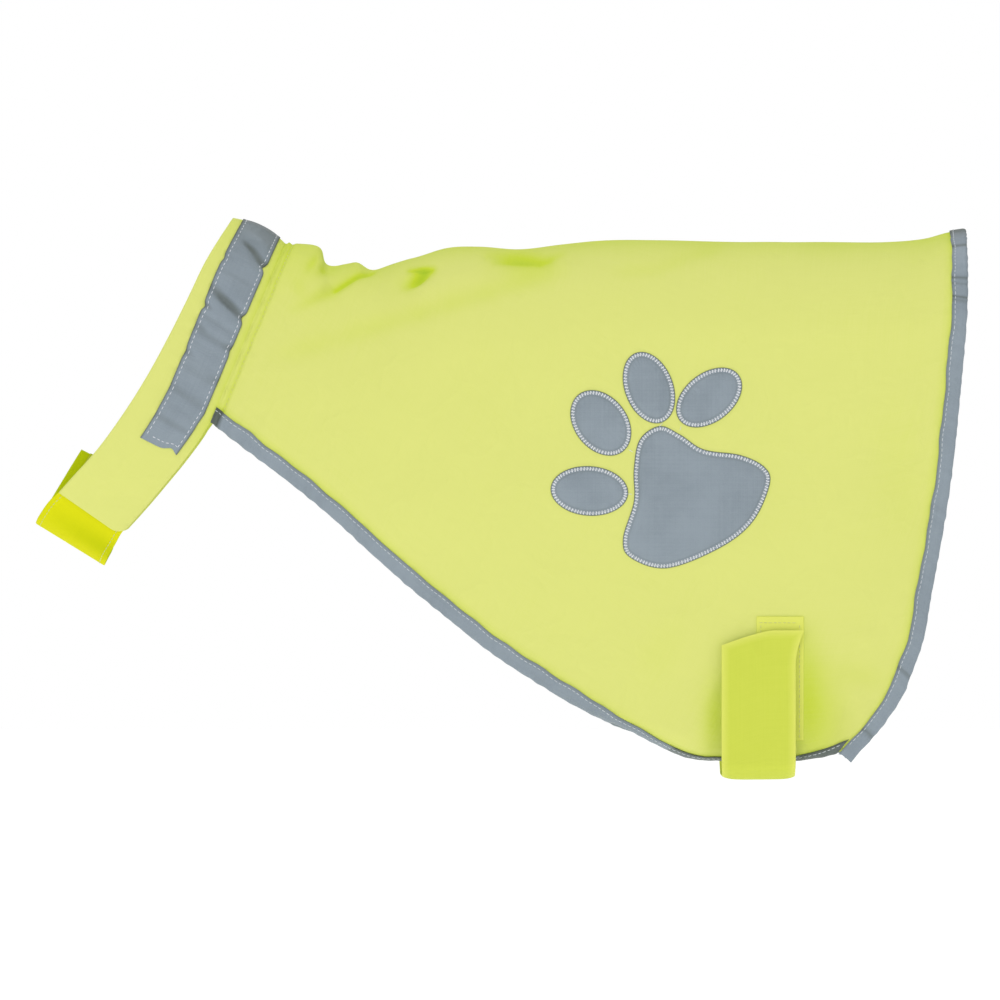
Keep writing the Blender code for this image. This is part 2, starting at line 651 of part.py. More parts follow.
def build_belly_strap(cape):
    path = strap_path(cape)
    grid = []
    for station, (y, z) in enumerate(path):
        row = []
        for column in range(STRAP_COLUMNS):
            share = column / (STRAP_COLUMNS - 1)
            x = STRAP_FRONT + (STRAP_REAR - STRAP_FRONT) * share
            height = z
            if station < STRAP_DOWN_STATIONS:
                lean = max(0.0, (STRAP_CORNER - x) / (STRAP_CORNER - STRAP_FRONT))
                left = 1 - station / STRAP_DOWN_STATIONS
                height = z + (STRAP_TOP_FRONT - STRAP_TOP) * lean * left
                flare = max(0.0, (z - STRAP_FLARE_END) / (STRAP_TOP - STRAP_FLARE_END))
                x += STRAP_FLARE * flare * share
            row.append((x, y, height + CAPE_CLOTH))
        grid.append(row)
    outer = np.array(grid)
    inner = moved_out(outer, -STRAP_CLOTH)
    shell("belly_strap", outer, inner, "lime_cloth")
    hooked = np.arange(len(path)) < STRAP_DOWN_STATIONS + STRAP_TURN_STATIONS - 1
    hook_back = moved_out(outer, -STRAP_CLOTH - GAP)[hooked]
    hook_face = moved_out(outer, -STRAP_CLOTH - GAP - TAPE)[hooked]
    for surface in (hook_back, hook_face):
        sideways = np.linspace(0, 1, hooked.sum()) ** 2 * BELLY_HOOK_SHIFT
        surface[..., 0] += sideways[:, None]
    shell("belly_hook", hook_back, hook_face, "lime_hook_tape")
    patch = [
        (PATCH_FRONT, PATCH_TOP),
        (PATCH_REAR, PATCH_TOP),
        (PATCH_REAR, PATCH_BOTTOM),
        (PATCH_FRONT, PATCH_BOTTOM),
    ]
    applied_on_cape("belly_patch", cape, patch, "lime_cloth")


def main():
    clear_scene()
    cape = cape_grid()
    build_cape(cape)
    build_neck(cape)
    build_paw(cape)
    build_belly_strap(cape)


main()
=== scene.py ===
"""The looks of a dog safety vest: cape, bound edges, neck band, throat tab, paw and belly strap.

Metres, +Z up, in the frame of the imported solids: the neck is towards -X, the rear hem towards +X,
and the side with the paw, called near below, towards -Y. Every piece of cloth is a thin wall.
"""

import math
from collections import namedtuple

import bpy
import numpy as np
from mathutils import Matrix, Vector
from mathutils.bvhtree import BVHTree


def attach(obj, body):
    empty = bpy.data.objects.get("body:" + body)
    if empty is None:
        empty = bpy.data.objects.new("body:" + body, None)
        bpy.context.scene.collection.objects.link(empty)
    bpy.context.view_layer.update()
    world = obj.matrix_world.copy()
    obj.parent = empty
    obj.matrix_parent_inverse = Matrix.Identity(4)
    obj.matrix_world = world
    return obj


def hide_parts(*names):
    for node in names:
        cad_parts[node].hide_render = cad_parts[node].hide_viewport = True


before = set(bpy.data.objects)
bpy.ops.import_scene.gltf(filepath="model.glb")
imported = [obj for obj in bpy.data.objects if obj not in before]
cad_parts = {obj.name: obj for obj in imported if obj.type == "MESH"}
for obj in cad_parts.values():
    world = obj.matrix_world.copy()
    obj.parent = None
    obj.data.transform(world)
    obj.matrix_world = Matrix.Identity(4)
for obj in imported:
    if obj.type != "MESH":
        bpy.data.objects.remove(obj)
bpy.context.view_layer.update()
bpy.ops.object.select_all(action="DESELECT")

# ---- Studio ------------------------------------------------------------------------------------
# A wide pale floor well below the vest, which its wearer would hold up, and large soft lights. The
# camera looks square at the side with the paw through a long lens.

PICTURE_WIDTH = 0.600
PICTURE_CENTRE_X = -0.0600
PICTURE_CENTRE_Z = -0.1548
PICTURE_DEPTH = -0.0350
LENS_MM = 800
SENSOR_MM = 36
FLOOR_Z = -0.500
FLOOR_SIZE = 40.0
FLOOR_LIGHT = 0.40
FLOOR_SEEN = 0.62
AMBIENT = 0.52
BACKDROP = 1.0

bpy.ops.object.camera_add(
    location=(PICTURE_CENTRE_X, PICTURE_DEPTH - PICTURE_WIDTH * LENS_MM / SENSOR_MM, PICTURE_CENTRE_Z),
    rotation=(math.pi / 2, 0, 0),
)
camera = bpy.context.object
camera.data.lens = LENS_MM
camera.data.sensor_width = SENSOR_MM
camera.data.clip_end = 60
bpy.context.scene.camera = camera
bpy.context.scene.view_settings.view_transform = "Standard"

SoftLight = namedtuple("SoftLight", "name x y z size watts")
SOFT_LIGHTS = [
    SoftLight("light_front", -0.9, -3.0, 1.1, 2.8, 28.5),
    SoftLight("light_side", 2.2, -1.8, 0.5, 1.8, 6),
    SoftLight("light_top", -0.2, 0.2, 2.4, 2.4, 22),
]
middle = Vector((PICTURE_CENTRE_X, 0, PICTURE_CENTRE_Z))
for soft in SOFT_LIGHTS:
    place = Vector((soft.x, soft.y, soft.z))
    turn = (middle - place).to_track_quat("-Z", "Y").to_euler()
    bpy.ops.object.light_add(type="AREA", location=place, rotation=turn)
    light = bpy.context.object
    light.name = soft.name
    light.data.shape = "DISK"
    light.data.size = soft.size
    light.data.energy = soft.watts

world = bpy.data.worlds.new("white_studio")
world.use_nodes = True
backdrop = world.node_tree.nodes["Background"].inputs
backdrop["Color"].default_value = (1, 1, 1, 1)
seen = world.node_tree.nodes.new("ShaderNodeLightPath").outputs["Is Camera Ray"]
strength = world.node_tree.nodes.new("ShaderNodeMapRange")
strength.inputs["To Min"].default_value = AMBIENT
strength.inputs["To Max"].default_value = BACKDROP
world.node_tree.links.new(seen, strength.inputs["Value"])
world.node_tree.links.new(strength.outputs[0], backdrop["Strength"])
bpy.context.scene.world = world


def add_node(tree, kind, sockets=None, **settings):
    """A node with its settings, then its sockets, each given a value or another node's output."""
    node = tree.nodes.new(kind)
    for name, value in settings.items():
        setattr(node, name, value)
    for name, value in (sockets or {}).items():
        if isinstance(value, bpy.types.NodeSocket):
            tree.links.new(value, node.inputs[name])
        else:
            node.inputs[name].default_value = value
    return node


def new_surface(name, **values):
    """A material, its node tree and its Principled BSDF, with plain values set on the sockets."""
    made = bpy.data.materials.new(name)
    made.use_nodes = True
    surface = made.node_tree.nodes["Principled BSDF"]
    for socket, value in values.items():
        surface.inputs[socket.replace("_", " ")].default_value = value
    return made, made.node_tree, surface.inputs


bpy.ops.mesh.primitive_plane_add(size=FLOOR_SIZE, location=(0, 0, FLOOR_Z))
floor = bpy.context.object
floor.name = "floor"
floor_paint, floor_tree, floor_sockets = new_surface(
    "floor_paint", Base_Color=(0.90, 0.90, 0.90, 1), Roughness=0.9, Specular_IOR_Level=0.0,
    Emission_Color=(1, 1, 1, 1),
)
floor_seen = add_node(floor_tree, "ShaderNodeLightPath").outputs["Is Camera Ray"]
floor_glow = add_node(
    floor_tree, "ShaderNodeMapRange", {"Value": floor_seen, "To Min": FLOOR_LIGHT, "To Max": FLOOR_SEEN}
)
floor_tree.links.new(floor_glow.outputs[0], floor_sockets["Emission Strength"])
floor.data.materials.append(floor_paint)

# ---- Cape --------------------------------------------------------------------------------------
# One piece of thin woven polyester in a fluorescent lime, sewn to the neck band at the front and
# bound all round. Worn, it hangs over the back and down both sides, with a few soft creases.

CAPE_SOLID_CLOTH = 0.0012
CAPE_CLOTH = 0.0006
BINDING_WIDTH = 0.0078
EDGE_REACH = 0.0018
CAPE_COLUMNS = 200
COLUMN_SPREAD = 1.3
SEAM_COLUMNS = 14
SEAM_ZONE = 0.0084
CAPE_ROWS = 98
BINDING_CELLS = 4
ROW_SPREAD = 1.12
FINE_PLACES = 320
EDGE_STEP = 0.0150
LEAST_EDGE_STEP = 0.0010
LEAST_SLANT = 0.6
ARC_POINTS = 60
NEAR = -1
FAR = 1

# A row for each section from the neck seam to the rear hem: its point on the spine, its point on
# the lower edge, its reach from the mid-plane, the share of its height that rounds over the back,
# how far the side leans in towards the belly, and how far the lower edge turns under.
Section = namedtuple("Section", "spine_x spine_z edge_x edge_z half_width crown tuck roll")
CAPE_SECTIONS = [
    Section(-0.1890, -0.0018, -0.2335, -0.1096, 0.0550, 1.000, 0.0000, 0.0000),
    Section(-0.1800, -0.0028, -0.2205, -0.1196, 0.0580, 0.900, 0.0005, 0.0000),
    Section(-0.1680, -0.0040, -0.2058, -0.1308, 0.0610, 0.800, 0.0010, 0.0000),
    Section(-0.1560, -0.0128, -0.1904, -0.1426, 0.0630, 0.700, 0.0020, 0.0000),
    Section(-0.1428, -0.0143, -0.1740, -0.1552, 0.0650, 0.620, 0.0030, 0.0000),
    Section(-0.1290, -0.0140, -0.1572, -0.1692, 0.0670, 0.540, 0.0040, 0.0000),
    Section(-0.1140, -0.0085, -0.1392, -0.1860, 0.0690, 0.460, 0.0050, 0.0000),
    Section(-0.0960, -0.0042, -0.1188, -0.2046, 0.0710, 0.380, 0.0060, 0.0000),
    Section(-0.0720, -0.0036, -0.0918, -0.2262, 0.0725, 0.310, 0.0070, 0.0000),
    Section(-0.0480, -0.0052, -0.0648, -0.2478, 0.0730, 0.270, 0.0080, 0.0000),
    Section(-0.0240, -0.0024, -0.0390, -0.2640, 0.0730, 0.245, 0.0085, 0.0015),
    Section(0.0000, 0.0000, -0.0150, -0.2778, 0.0730, 0.230, 0.0090, 0.0040),
    Section(0.0360, 0.0003, 0.0192, -0.2952, 0.0725, 0.210, 0.0100, 0.0105),
    Section(0.0720, -0.0006, 0.0510, -0.3084, 0.0720, 0.200, 0.0100, 0.0165),
    Section(0.1080, -0.0012, 0.0798, -0.3120, 0.0710, 0.190, 0.0100, 0.0165),
    Section(0.1440, -0.0018, 0.1062, -0.3120, 0.0700, 0.190, 0.0090, 0.0145),
    Section(0.1740, -0.0010, 0.1260, -0.3096, 0.0690, 0.190, 0.0070, 0.0090),
    Section(0.1950, 0.0000, 0.1386, -0.3072, 0.0680, 0.185, 0.0050, 0.0040),
    Section(0.2100, 0.0050, 0.1444, -0.3069, 0.0675, 0.180, 0.0040, 0.0010),
    Section(0.2202, 0.0066, 0.1497, -0.3081, 0.0670, 0.180, 0.0030, 0.0000),
]
SIDE_SWELL = 0.035
ROLL_SHAPE = 0.8

# How far the rear hem bows out, against the share of its drop. It fades towards the neck.
Bow = namedtuple("Bow", "drop_share reach")
REAR_BOW = [
    Bow(0.000, 0.0000),
    Bow(0.133, 0.0094),
    Bow(0.320, 0.0178),
    Bow(0.508, 0.0245),
    Bow(0.696, 0.0274),
    Bow(0.790, 0.0286),
    Bow(0.846, 0.0262),
    Bow(0.884, 0.0243),
    Bow(0.921, 0.0197),
    Bow(0.959, 0.0136),
    Bow(1.000, 0.0045),
]
BOW_START = -0.0600
BOW_FADE = 1.5

# Creases as lines on the cape seen from the side. A negative depth is a trough, and a crease
# keeps the given share of its depth where its line ends.
Crease = namedtuple("Crease", "side start_x start_z end_x end_z width depth end_share")
CREASES = [
    Crease(NEAR, -0.1362, -0.0168, -0.1584, -0.0282, 0.0016, -0.0012, 0.70),
    Crease(NEAR, -0.1386, -0.0186, -0.1836, -0.0414, 0.0036, -0.0014, 0.25),
    Crease(NEAR, -0.1428, -0.0138, -0.1800, -0.0336, 0.0050, 0.0010, 0.10),
    Crease(NEAR, -0.1350, -0.0234, -0.1740, -0.0450, 0.0060, 0.0012, 0.10),
    Crease(NEAR, -0.1002, -0.0180, -0.1146, -0.0180, 0.0015, -0.0014, 0.60),
    Crease(NEAR, -0.1020, -0.0192, -0.1158, -0.0276, 0.0032, -0.0032, 0.30),
    Crease(NEAR, -0.1050, -0.0210, -0.1212, -0.0312, 0.0060, -0.0016, 0.30),
    Crease(NEAR, -0.0960, -0.0150, -0.1170, -0.0222, 0.0035, 0.0014, 0.20),
    Crease(NEAR, -0.0930, -0.0240, -0.1170, -0.0360, 0.0060, 0.0014, 0.10),
    Crease(NEAR, -0.0660, -0.0102, -0.0300, -0.0132, 0.0036, -0.0020, 0.40),
    Crease(NEAR, -0.0630, -0.0144, -0.0360, -0.0144, 0.0022, -0.0008, 0.50),
    Crease(NEAR, -0.0360, -0.0144, -0.0222, -0.0078, 0.0022, -0.0007, 0.50),
    Crease(NEAR, -0.0690, -0.0132, -0.1020, -0.0330, 0.0080, 0.0016, 0.20),
    Crease(NEAR, -0.0324, -0.0222, -0.0678, -0.0318, 0.0060, -0.0014, 0.50),
    Crease(NEAR, -0.0678, -0.0318, -0.1080, -0.0438, 0.0060, -0.0014, 0.60),
    Crease(NEAR, -0.1080, -0.0438, -0.1482, -0.0558, 0.0060, -0.0012, 0.60),
    Crease(NEAR, -0.1482, -0.0558, -0.1938, -0.0702, 0.0065, -0.0010, 0.30),
    Crease(NEAR, -0.1200, -0.0360, -0.1560, -0.0468, 0.0080, 0.0009, 0.10),
    Crease(NEAR, 0.0108, -0.0192, 0.0330, -0.0180, 0.0045, -0.0007, 0.40),
    Crease(NEAR, 0.0330, -0.0180, 0.0540, -0.0090, 0.0045, -0.0007, 0.40),
    Crease(NEAR, 0.0540, -0.0090, 0.0732, -0.0042, 0.0040, -0.0006, 0.40),
    Crease(NEAR, -0.1620, -0.0138, -0.1680, -0.0192, 0.0030, -0.0016, 0.40),
    Crease(NEAR, -0.1698, -0.0090, -0.1752, -0.0180, 0.0024, -0.0009, 0.40),
    Crease(NEAR, -0.1840, -0.0230, -0.1770, -0.0350, 0.0040, -0.0007, 0.20),
    Crease(NEAR, 0.1440, -0.2310, 0.1720, -0.2450, 0.0050, 0.0012, 0.10),
    Crease(NEAR, 0.1400, -0.2560, 0.1720, -0.2660, 0.0065, -0.0010, 0.10),
    Crease(NEAR, 0.1452, -0.2780, 0.1446, -0.3030, 0.0030, 0.0014, 0.30),
    Crease(NEAR, 0.0720, -0.2580, 0.0640, -0.2760, 0.0040, 0.0012, 0.30),
    Crease(NEAR, 0.0640, -0.2760, 0.0630, -0.3060, 0.0036, 0.0012, 0.50),
    Crease(NEAR, 0.0500, -0.2280, 0.0250, -0.2650, 0.0120, -0.0010, 0.10),
    Crease(NEAR, 0.0220, -0.2350, -0.0080, -0.2620, 0.0100, 0.0009, 0.10),
    Crease(NEAR, 0.1750, -0.0900, 0.1820, -0.1900, 0.0160, -0.0012, 0.10),
    Crease(FAR, -0.1350, -0.0160, -0.1850, -0.0470, 0.0028, -0.0019, 0.25),
    Crease(FAR, -0.1400, -0.0130, -0.1800, -0.0370, 0.0050, 0.0011, 0.10),
    Crease(FAR, -0.1040, -0.0180, -0.1230, -0.0330, 0.0036, -0.0036, 0.30),
    Crease(FAR, -0.0970, -0.0270, -0.1280, -0.0460, 0.0065, 0.0014, 0.10),
    Crease(FAR, -0.0700, -0.0110, -0.0380, -0.0160, 0.0038, -0.0018, 0.40),
    Crease(FAR, -0.0420, -0.0220, -0.0930, -0.0400, 0.0065, -0.0014, 0.50),
    Crease(FAR, -0.0930, -0.0400, -0.1500, -0.0620, 0.0060, -0.0013, 0.60),
    Crease(FAR, -0.1500, -0.0620, -0.1920, -0.0760, 0.0065, -0.0010, 0.30),
    Crease(FAR, -0.1640, -0.0140, -0.1700, -0.0230, 0.0030, -0.0015, 0.40),
    Crease(FAR, 0.0200, -0.0160, 0.0620, -0.0110, 0.0045, -0.0008, 0.40),
    Crease(FAR, 0.1280, -0.2200, 0.1700, -0.2380, 0.0055, 0.0013, 0.10),
    Crease(FAR, 0.1240, -0.2480, 0.1240, -0.2960, 0.0036, 0.0012, 0.30),
    Crease(FAR, 0.0600, -0.2280, 0.0300, -0.2720, 0.0110, -0.0012, 0.10),
    Crease(FAR, 0.0560, -0.1500, -0.0100, -0.2100, 0.0160, -0.0012, 0.10),
]

# Low humps and dips of the cape along its spine. They fade out down both sides.
Hump = namedtuple("Hump", "x height width")
SPINE_HUMPS = [
    Hump(-0.1790, 0.0010, 0.0080),
    Hump(-0.1606, -0.0058, 0.0048),
    Hump(-0.1456, 0.0020, 0.0050),
    Hump(-0.1372, -0.0030, 0.0075),
    Hump(-0.1100, -0.0024, 0.0160),
    Hump(0.1380, 0.0010, 0.0250),
    Hump(0.1920, 0.0012, 0.0120),
]
HUMP_FADE = 0.034

# How near the spine the creases and waves of both sides fade out, so that they meet there.
SPINE_BLEND = 0.010

# Painted shade where other cloth lies close over the cape and shades it, as lines like these, with how
# much the shade deepens the colour as their depth.
SHADED = [
    Crease(NEAR, 0.0705, -0.2640, 0.0680, -0.3080, 0.0075, 0.65, 0.30),
    Crease(NEAR, 0.1225, -0.2380, 0.1235, -0.3080, 0.0095, 0.55, 0.40),
    Crease(NEAR, 0.1320, -0.2640, 0.1350, -0.3080, 0.0140, 0.42, 0.60),
    Crease(NEAR, -0.0620, -0.0150, -0.0260, -0.0165, 0.0080, 0.40, 0.40),
    Crease(NEAR, -0.1810, -0.0220, -0.1680, -0.0160, 0.0070, 0.12, 0.40),
    Crease(NEAR, -0.1115, -0.0195, -0.1015, -0.0188, 0.0036, 0.55, 0.50),
    Crease(FAR, 0.0710, -0.2700, 0.0690, -0.3080, 0.0050, 0.60, 0.30),
    Crease(FAR, 0.1200, -0.2700, 0.1200, -0.3080, 0.0050, 0.60, 0.30),
]
FULL_SHADE_STEEPNESS = 1.00
MOST_SHADE = 2.0
SEAM_SHADE = 0.24
SEAM_SHADE_WIDTH = 0.0060
SEAM_LINE_SHADE = 0.35
SPINE_SHADE = 0.62
SPINE_SHADE_WIDTH = 0.031
EDGE_SHADE = 0.40
EDGE_SHADE_WIDTH = 0.0030

# Gathers that run in from a sewn edge: their spacing, depth and length, and how much they differ.
PUCKER_SPACING = 0.0135
SEAM_PUCKER = 0.00028
SEAM_PUCKER_LENGTH = 0.0160
HEM_WAVE_SPACING = 0.0420
HEM_WAVE = 0.00040
HEM_WAVE_LENGTH = 0.0280
REAR_WAVE_SHARE = 0.6
EDGE_WAVES = 5
SHORTEST_SHARE = 0.6
LONGEST_SHARE = 1.7

# The seam to the neck band: the allowance lies under the cape and shows as a ridge between the
# band and the topstitching, with a groove where the thread pulls the cloth down.
SEAM_RIDGE = 0.0022
SEAM_GROOVE = 0.0046
SEAM_RIDGE_HEIGHT = 0.0007
SEAM_GROOVE_DEPTH = 0.0008
SEAM_LINE_WIDTH = 0.0009
SEAM_GATHER = 0.7

# Slight unevenness of the cloth as it hangs, as a few crossing waves.
HANG_WAVES = 14
HANG_LONGEST = 0.150
HANG_SHORTEST = 0.050
HANG_DEPTH = 0.00022


def on_curve(table, places):
    """The table's row at each place along its first column, on a smooth curve through its rows."""
    rows = np.array(table, dtype=float)
    stations = rows[:, 0]
    slopes = np.gradient(rows, stations, axis=0)
    before = np.clip(np.searchsorted(stations, places) - 1, 0, len(rows) - 2)
    span = stations[before + 1] - stations[before]
    t = ((places - stations[before]) / span)[..., None]
    span = span[..., None]
    values = (
        (2 * t**3 - 3 * t**2 + 1) * rows[before]
        + (t**3 - 2 * t**2 + t) * span * slopes[before]
        + (3 * t**2 - 2 * t**3) * rows[before + 1]
        + (t**3 - t**2) * span * slopes[before + 1]
    )
    return type(table[0])(*np.moveaxis(values, -1, 0))


def unit(vectors):
    return vectors / np.maximum(np.linalg.norm(vectors, axis=-1, keepdims=True), 1e-12)


def normals(grid):
    """Unit normals of a grid, on the side that cloth_piece takes as its outer one."""
    return unit(np.cross(np.gradient(grid, axis=0), np.gradient(grid, axis=1)))


def lengths(lines):
    """Distance along each line, where the first axis runs along the lines."""
    steps = np.linalg.norm(np.diff(lines, axis=0), axis=-1)
    return np.concatenate([np.zeros((1, *steps.shape[1:])), np.cumsum(steps, axis=0)])


def points_at(wanted, places, line):
    """Points of a line at the wanted places, between its own points, whose places are given."""
    return np.stack([np.interp(wanted, places, values) for values in line.T], axis=-1)


def bell(distance, width):
    """A smooth share that is 1 at no distance and fades out past the width."""
    return np.exp(-((distance / width) ** 2))


def cape_sections():
    """Each section's points from the spine to the binding and across it to the lower edge."""
    places = np.linspace(CAPE_SECTIONS[0].spine_x, CAPE_SECTIONS[-1].spine_x, FINE_PLACES)
    step = np.maximum(np.minimum(EDGE_STEP, places - places[0]), LEAST_EDGE_STEP)
    here = on_curve(CAPE_SECTIONS, places)
    behind = on_curve(CAPE_SECTIONS, places - step)
    spine = np.stack([here.spine_x, here.spine_z], axis=-1)
    edge = np.stack([here.edge_x, here.edge_z], axis=-1)
    along_edge = unit(edge - np.stack([behind.edge_x, behind.edge_z], axis=-1))
    height = np.linalg.norm(edge - spine, axis=-1)
    down = (edge - spine) / height[:, None]
    slant = np.abs(down[:, 0] * along_edge[:, 1] - down[:, 1] * along_edge[:, 0])
    binding = BINDING_WIDTH / np.maximum(slant, LEAST_SLANT)
    fades = np.clip((places - BOW_START) / (places[-1] - BOW_START), 0, 1) ** BOW_FADE
    turn = np.linspace(0, math.pi / 2, ARC_POINTS)
    share = np.linspace(0, 1, ARC_POINTS)
    sections = []
    for i in range(FINE_PLACES):
        crown = here.crown[i] * height[i]
        roll = max(here.roll[i], 0.0)
        side_height = height[i] - crown - ROLL_SHAPE * roll
        swell = SIDE_SWELL * (1 - here.crown[i]) * here.half_width[i]
        side = here.half_width[i] + swell * np.sin(math.pi * share) - here.tuck[i] * share**2
        drop = np.concatenate([
            crown * (1 - np.cos(turn)),
            crown + side_height * share[1:],
            height[i] - ROLL_SHAPE * roll * (1 - np.sin(turn[1:])),
        ])
        reach = np.concatenate([
            here.half_width[i] * np.sin(turn),
            side[1:],
            side[-1] - roll * (1 - np.cos(turn[1:])),
        ])
        length = lengths(np.column_stack([drop, reach]))
        end = length[-1] - EDGE_REACH
        wanted = np.concatenate([
            (end - binding[i]) * np.linspace(0, 1, CAPE_ROWS + 1) ** ROW_SPREAD,
            np.linspace(end - binding[i], end, BINDING_CELLS + 1)[1:],
        ])
        drops = np.interp(wanted, length, drop)
        bows = on_curve(REAR_BOW, drops / height[i]).reach * fades[i]
        flat = spine[i] + np.outer(drops, down[i])
        reaches = np.interp(wanted, length, reach)
        sections.append(np.column_stack([flat[:, 0] + bows, reaches, flat[:, 1] + CAPE_SOLID_CLOTH]))
    return np.array(sections)


def half_cape():
    """One side as columns of rows, closer together towards the neck, where most folds are. The
    last columns lie across the rear binding."""
    fine = cape_sections()
    spread = np.linspace(0, 1, CAPE_COLUMNS - SEAM_COLUMNS) ** COLUMN_SPREAD
    rear_edge = unit(np.gradient(fine[-1], axis=0))
    rows = []
    for row in range(fine.shape[1]):
        line = fine[:, row]
        along = lengths(line)
        slant = max(np.linalg.norm(np.cross(unit(line[-1] - line[-2]), rear_edge[row])), LEAST_SLANT)
        end = along[-1] - EDGE_REACH / slant
        binding = BINDING_WIDTH / slant
        wanted = np.concatenate([
            np.linspace(0, SEAM_ZONE, SEAM_COLUMNS, endpoint=False),
            SEAM_ZONE + (end - binding - SEAM_ZONE) * spread,
            np.linspace(end - binding, end, BINDING_CELLS + 1)[1:],
        ])
        rows.append(points_at(wanted, along, line))
    return np.array(rows).transpose(1, 0, 2)


def soft_lines(points, side, table):
    """The summed depth at each point of one side's soft lines, which are drawn as seen from the
    side: how far creases move it out, or how much painted shade deepens its colour."""
    total = np.zeros(points.shape[:-1])
    flat = points[..., [0, 2]] - (0, CAPE_SOLID_CLOTH)
    for crease in table:
        if crease.side != side:
            continue
        start = np.array([crease.start_x, crease.start_z])
        line = np.array([crease.end_x, crease.end_z]) - start
        share = np.clip(((flat - start) @ line) / (line @ line), 0, 1)
        away = np.linalg.norm(flat - start - share[..., None] * line, axis=-1)
        ends = crease.end_share + (1 - crease.end_share) * np.sin(math.pi * share)
        total += crease.depth * ends * bell(away, crease.width)
    return total


def uneven_wave(along, spacing, seed):
    """A wave along an edge whose spacing and height differ from place to place."""
    random = np.random.default_rng(seed)
    total = np.zeros_like(along)
    for _ in range(EDGE_WAVES):
        length = spacing * random.uniform(SHORTEST_SHARE, LONGEST_SHARE)
        total += np.sin(2 * math.pi * (along / length + random.uniform(0, 1)))
    return total / math.sqrt(EDGE_WAVES)


def hang_height(points, seed):
    """How far the slight waves of the hanging cloth move its points out."""
    random = np.random.default_rng(seed)
    total = np.zeros(points.shape[:-1])
    for _ in range(HANG_WAVES):
        turn = random.uniform(0, math.pi)
        length = random.uniform(HANG_SHORTEST, HANG_LONGEST)
        across = points[..., 0] * math.cos(turn) + points[..., 2] * math.sin(turn)
        total += np.sin(2 * math.pi * (across / length + random.uniform(0, 1)))
    return total * HANG_DEPTH


def both_sides(points, table):
    """Soft lines on the near half of the cape's points and on the far half."""
    spine = points.shape[1] // 2
    near = soft_lines(points[:, :spine], NEAR, table)
    far = soft_lines(points[:, spine:], FAR, table)
    return np.concatenate([near, far], axis=1)


def cape_height(whole, from_seam, to_hem, from_edges):
    """How far creases, gathers, humps and the neck seam move the cape's points out."""
    spine = whole.shape[1] // 2
    hang = np.concatenate([hang_height(whole[:, :spine], 3), hang_height(whole[:, spine:], 5)], axis=1)
    creases = both_sides(whole, CREASES) + hang
    gathers = uneven_wave(lengths(whole[0]), PUCKER_SPACING, 7)
    creases += SEAM_PUCKER * gathers * bell(from_seam, SEAM_PUCKER_LENGTH)
    hem_wave = uneven_wave(lengths(whole[-1]), HEM_WAVE_SPACING, 11)
    creases += REAR_WAVE_SHARE * HEM_WAVE * hem_wave * bell(to_hem, HEM_WAVE_LENGTH)
    for side, edge, seed in ((NEAR, 0, 13), (FAR, -1, 17)):
        wave = uneven_wave(from_seam[:, edge], HEM_WAVE_SPACING, seed)[:, None]
        creases += HEM_WAVE * wave * bell(from_edges[side], HEM_WAVE_LENGTH)
    creases *= 1 - bell(whole[..., 1], SPINE_BLEND)
    over_back = bell(whole[..., 1], HUMP_FADE)
    for hump in SPINE_HUMPS:
        creases += hump.height * bell(whole[..., 0] - hump.x, hump.width) * over_back
    creases *= np.clip(from_seam / SEAM_GROOVE, 0, 1)
    ridge_height = SEAM_RIDGE_HEIGHT * (1 + SEAM_GATHER * gathers)
    seam = ridge_height * bell(from_seam - SEAM_RIDGE, SEAM_LINE_WIDTH)
    seam -= SEAM_GROOVE_DEPTH * bell(from_seam - SEAM_GROOVE, SEAM_LINE_WIDTH)
    return creases + seam


def cape_painted_shade(whole, from_seam, to_hem, from_edges):
    """How much painted shade deepens the cape's colour at each point: in its troughs, where other
    cloth lies close, along the seam and the spine, and beside the tape round its edges."""
    troughs = [
        crease._replace(depth=-crease.depth / crease.width / FULL_SHADE_STEEPNESS)
        for crease in CREASES if crease.depth < 0
    ]
    depth = both_sides(whole, troughs) + both_sides(whole, SHADED)
    depth *= 1 - bell(whole[..., 1], SPINE_BLEND)
    depth += SEAM_SHADE * bell(from_seam, SEAM_SHADE_WIDTH)
    depth += SEAM_LINE_SHADE * bell(from_seam - SEAM_GROOVE, SEAM_LINE_WIDTH)
    depth += SPINE_SHADE * bell(whole[..., 1], SPINE_SHADE_WIDTH)
    beside_tape = [
        bell(distance - BINDING_WIDTH, EDGE_SHADE_WIDTH) for distance in (to_hem, *from_edges.values())
    ]
    depth += EDGE_SHADE * np.max(beside_tape, axis=0)
    return np.clip(depth, 0, MOST_SHADE)


def cape_grid():
    """The cape's outer face as columns from neck to rear, and rows from the near lower edge over
    the spine to the far one, and how much painted shade deepens its colour at each point."""
    half = half_cape()
    whole = np.concatenate([(half * (1, NEAR, 1))[:, ::-1], half[:, 1:]], axis=1)
    across = whole.transpose(1, 0, 2)
    from_seam = lengths(whole)
    to_hem = from_seam[-1] - from_seam
    from_edges = {NEAR: lengths(across).T, FAR: lengths(across[::-1])[::-1].T}
    height = cape_height(whole, from_seam, to_hem, from_edges)
    # The colour depth is painted shade, carried to the material as the cape's shade attribute.
    depth = cape_painted_shade(whole, from_seam, to_hem, from_edges)
    return whole + normals(whole) * height[..., None], depth


def grid_quads(rows, columns, first, flipped):
    corner = first + (np.arange(rows - 1)[:, None] * columns + np.arange(columns - 1)).ravel()
    quads = np.column_stack([corner, corner + columns, corner + columns + 1, corner + 1])
    return quads[:, ::-1] if flipped else quads


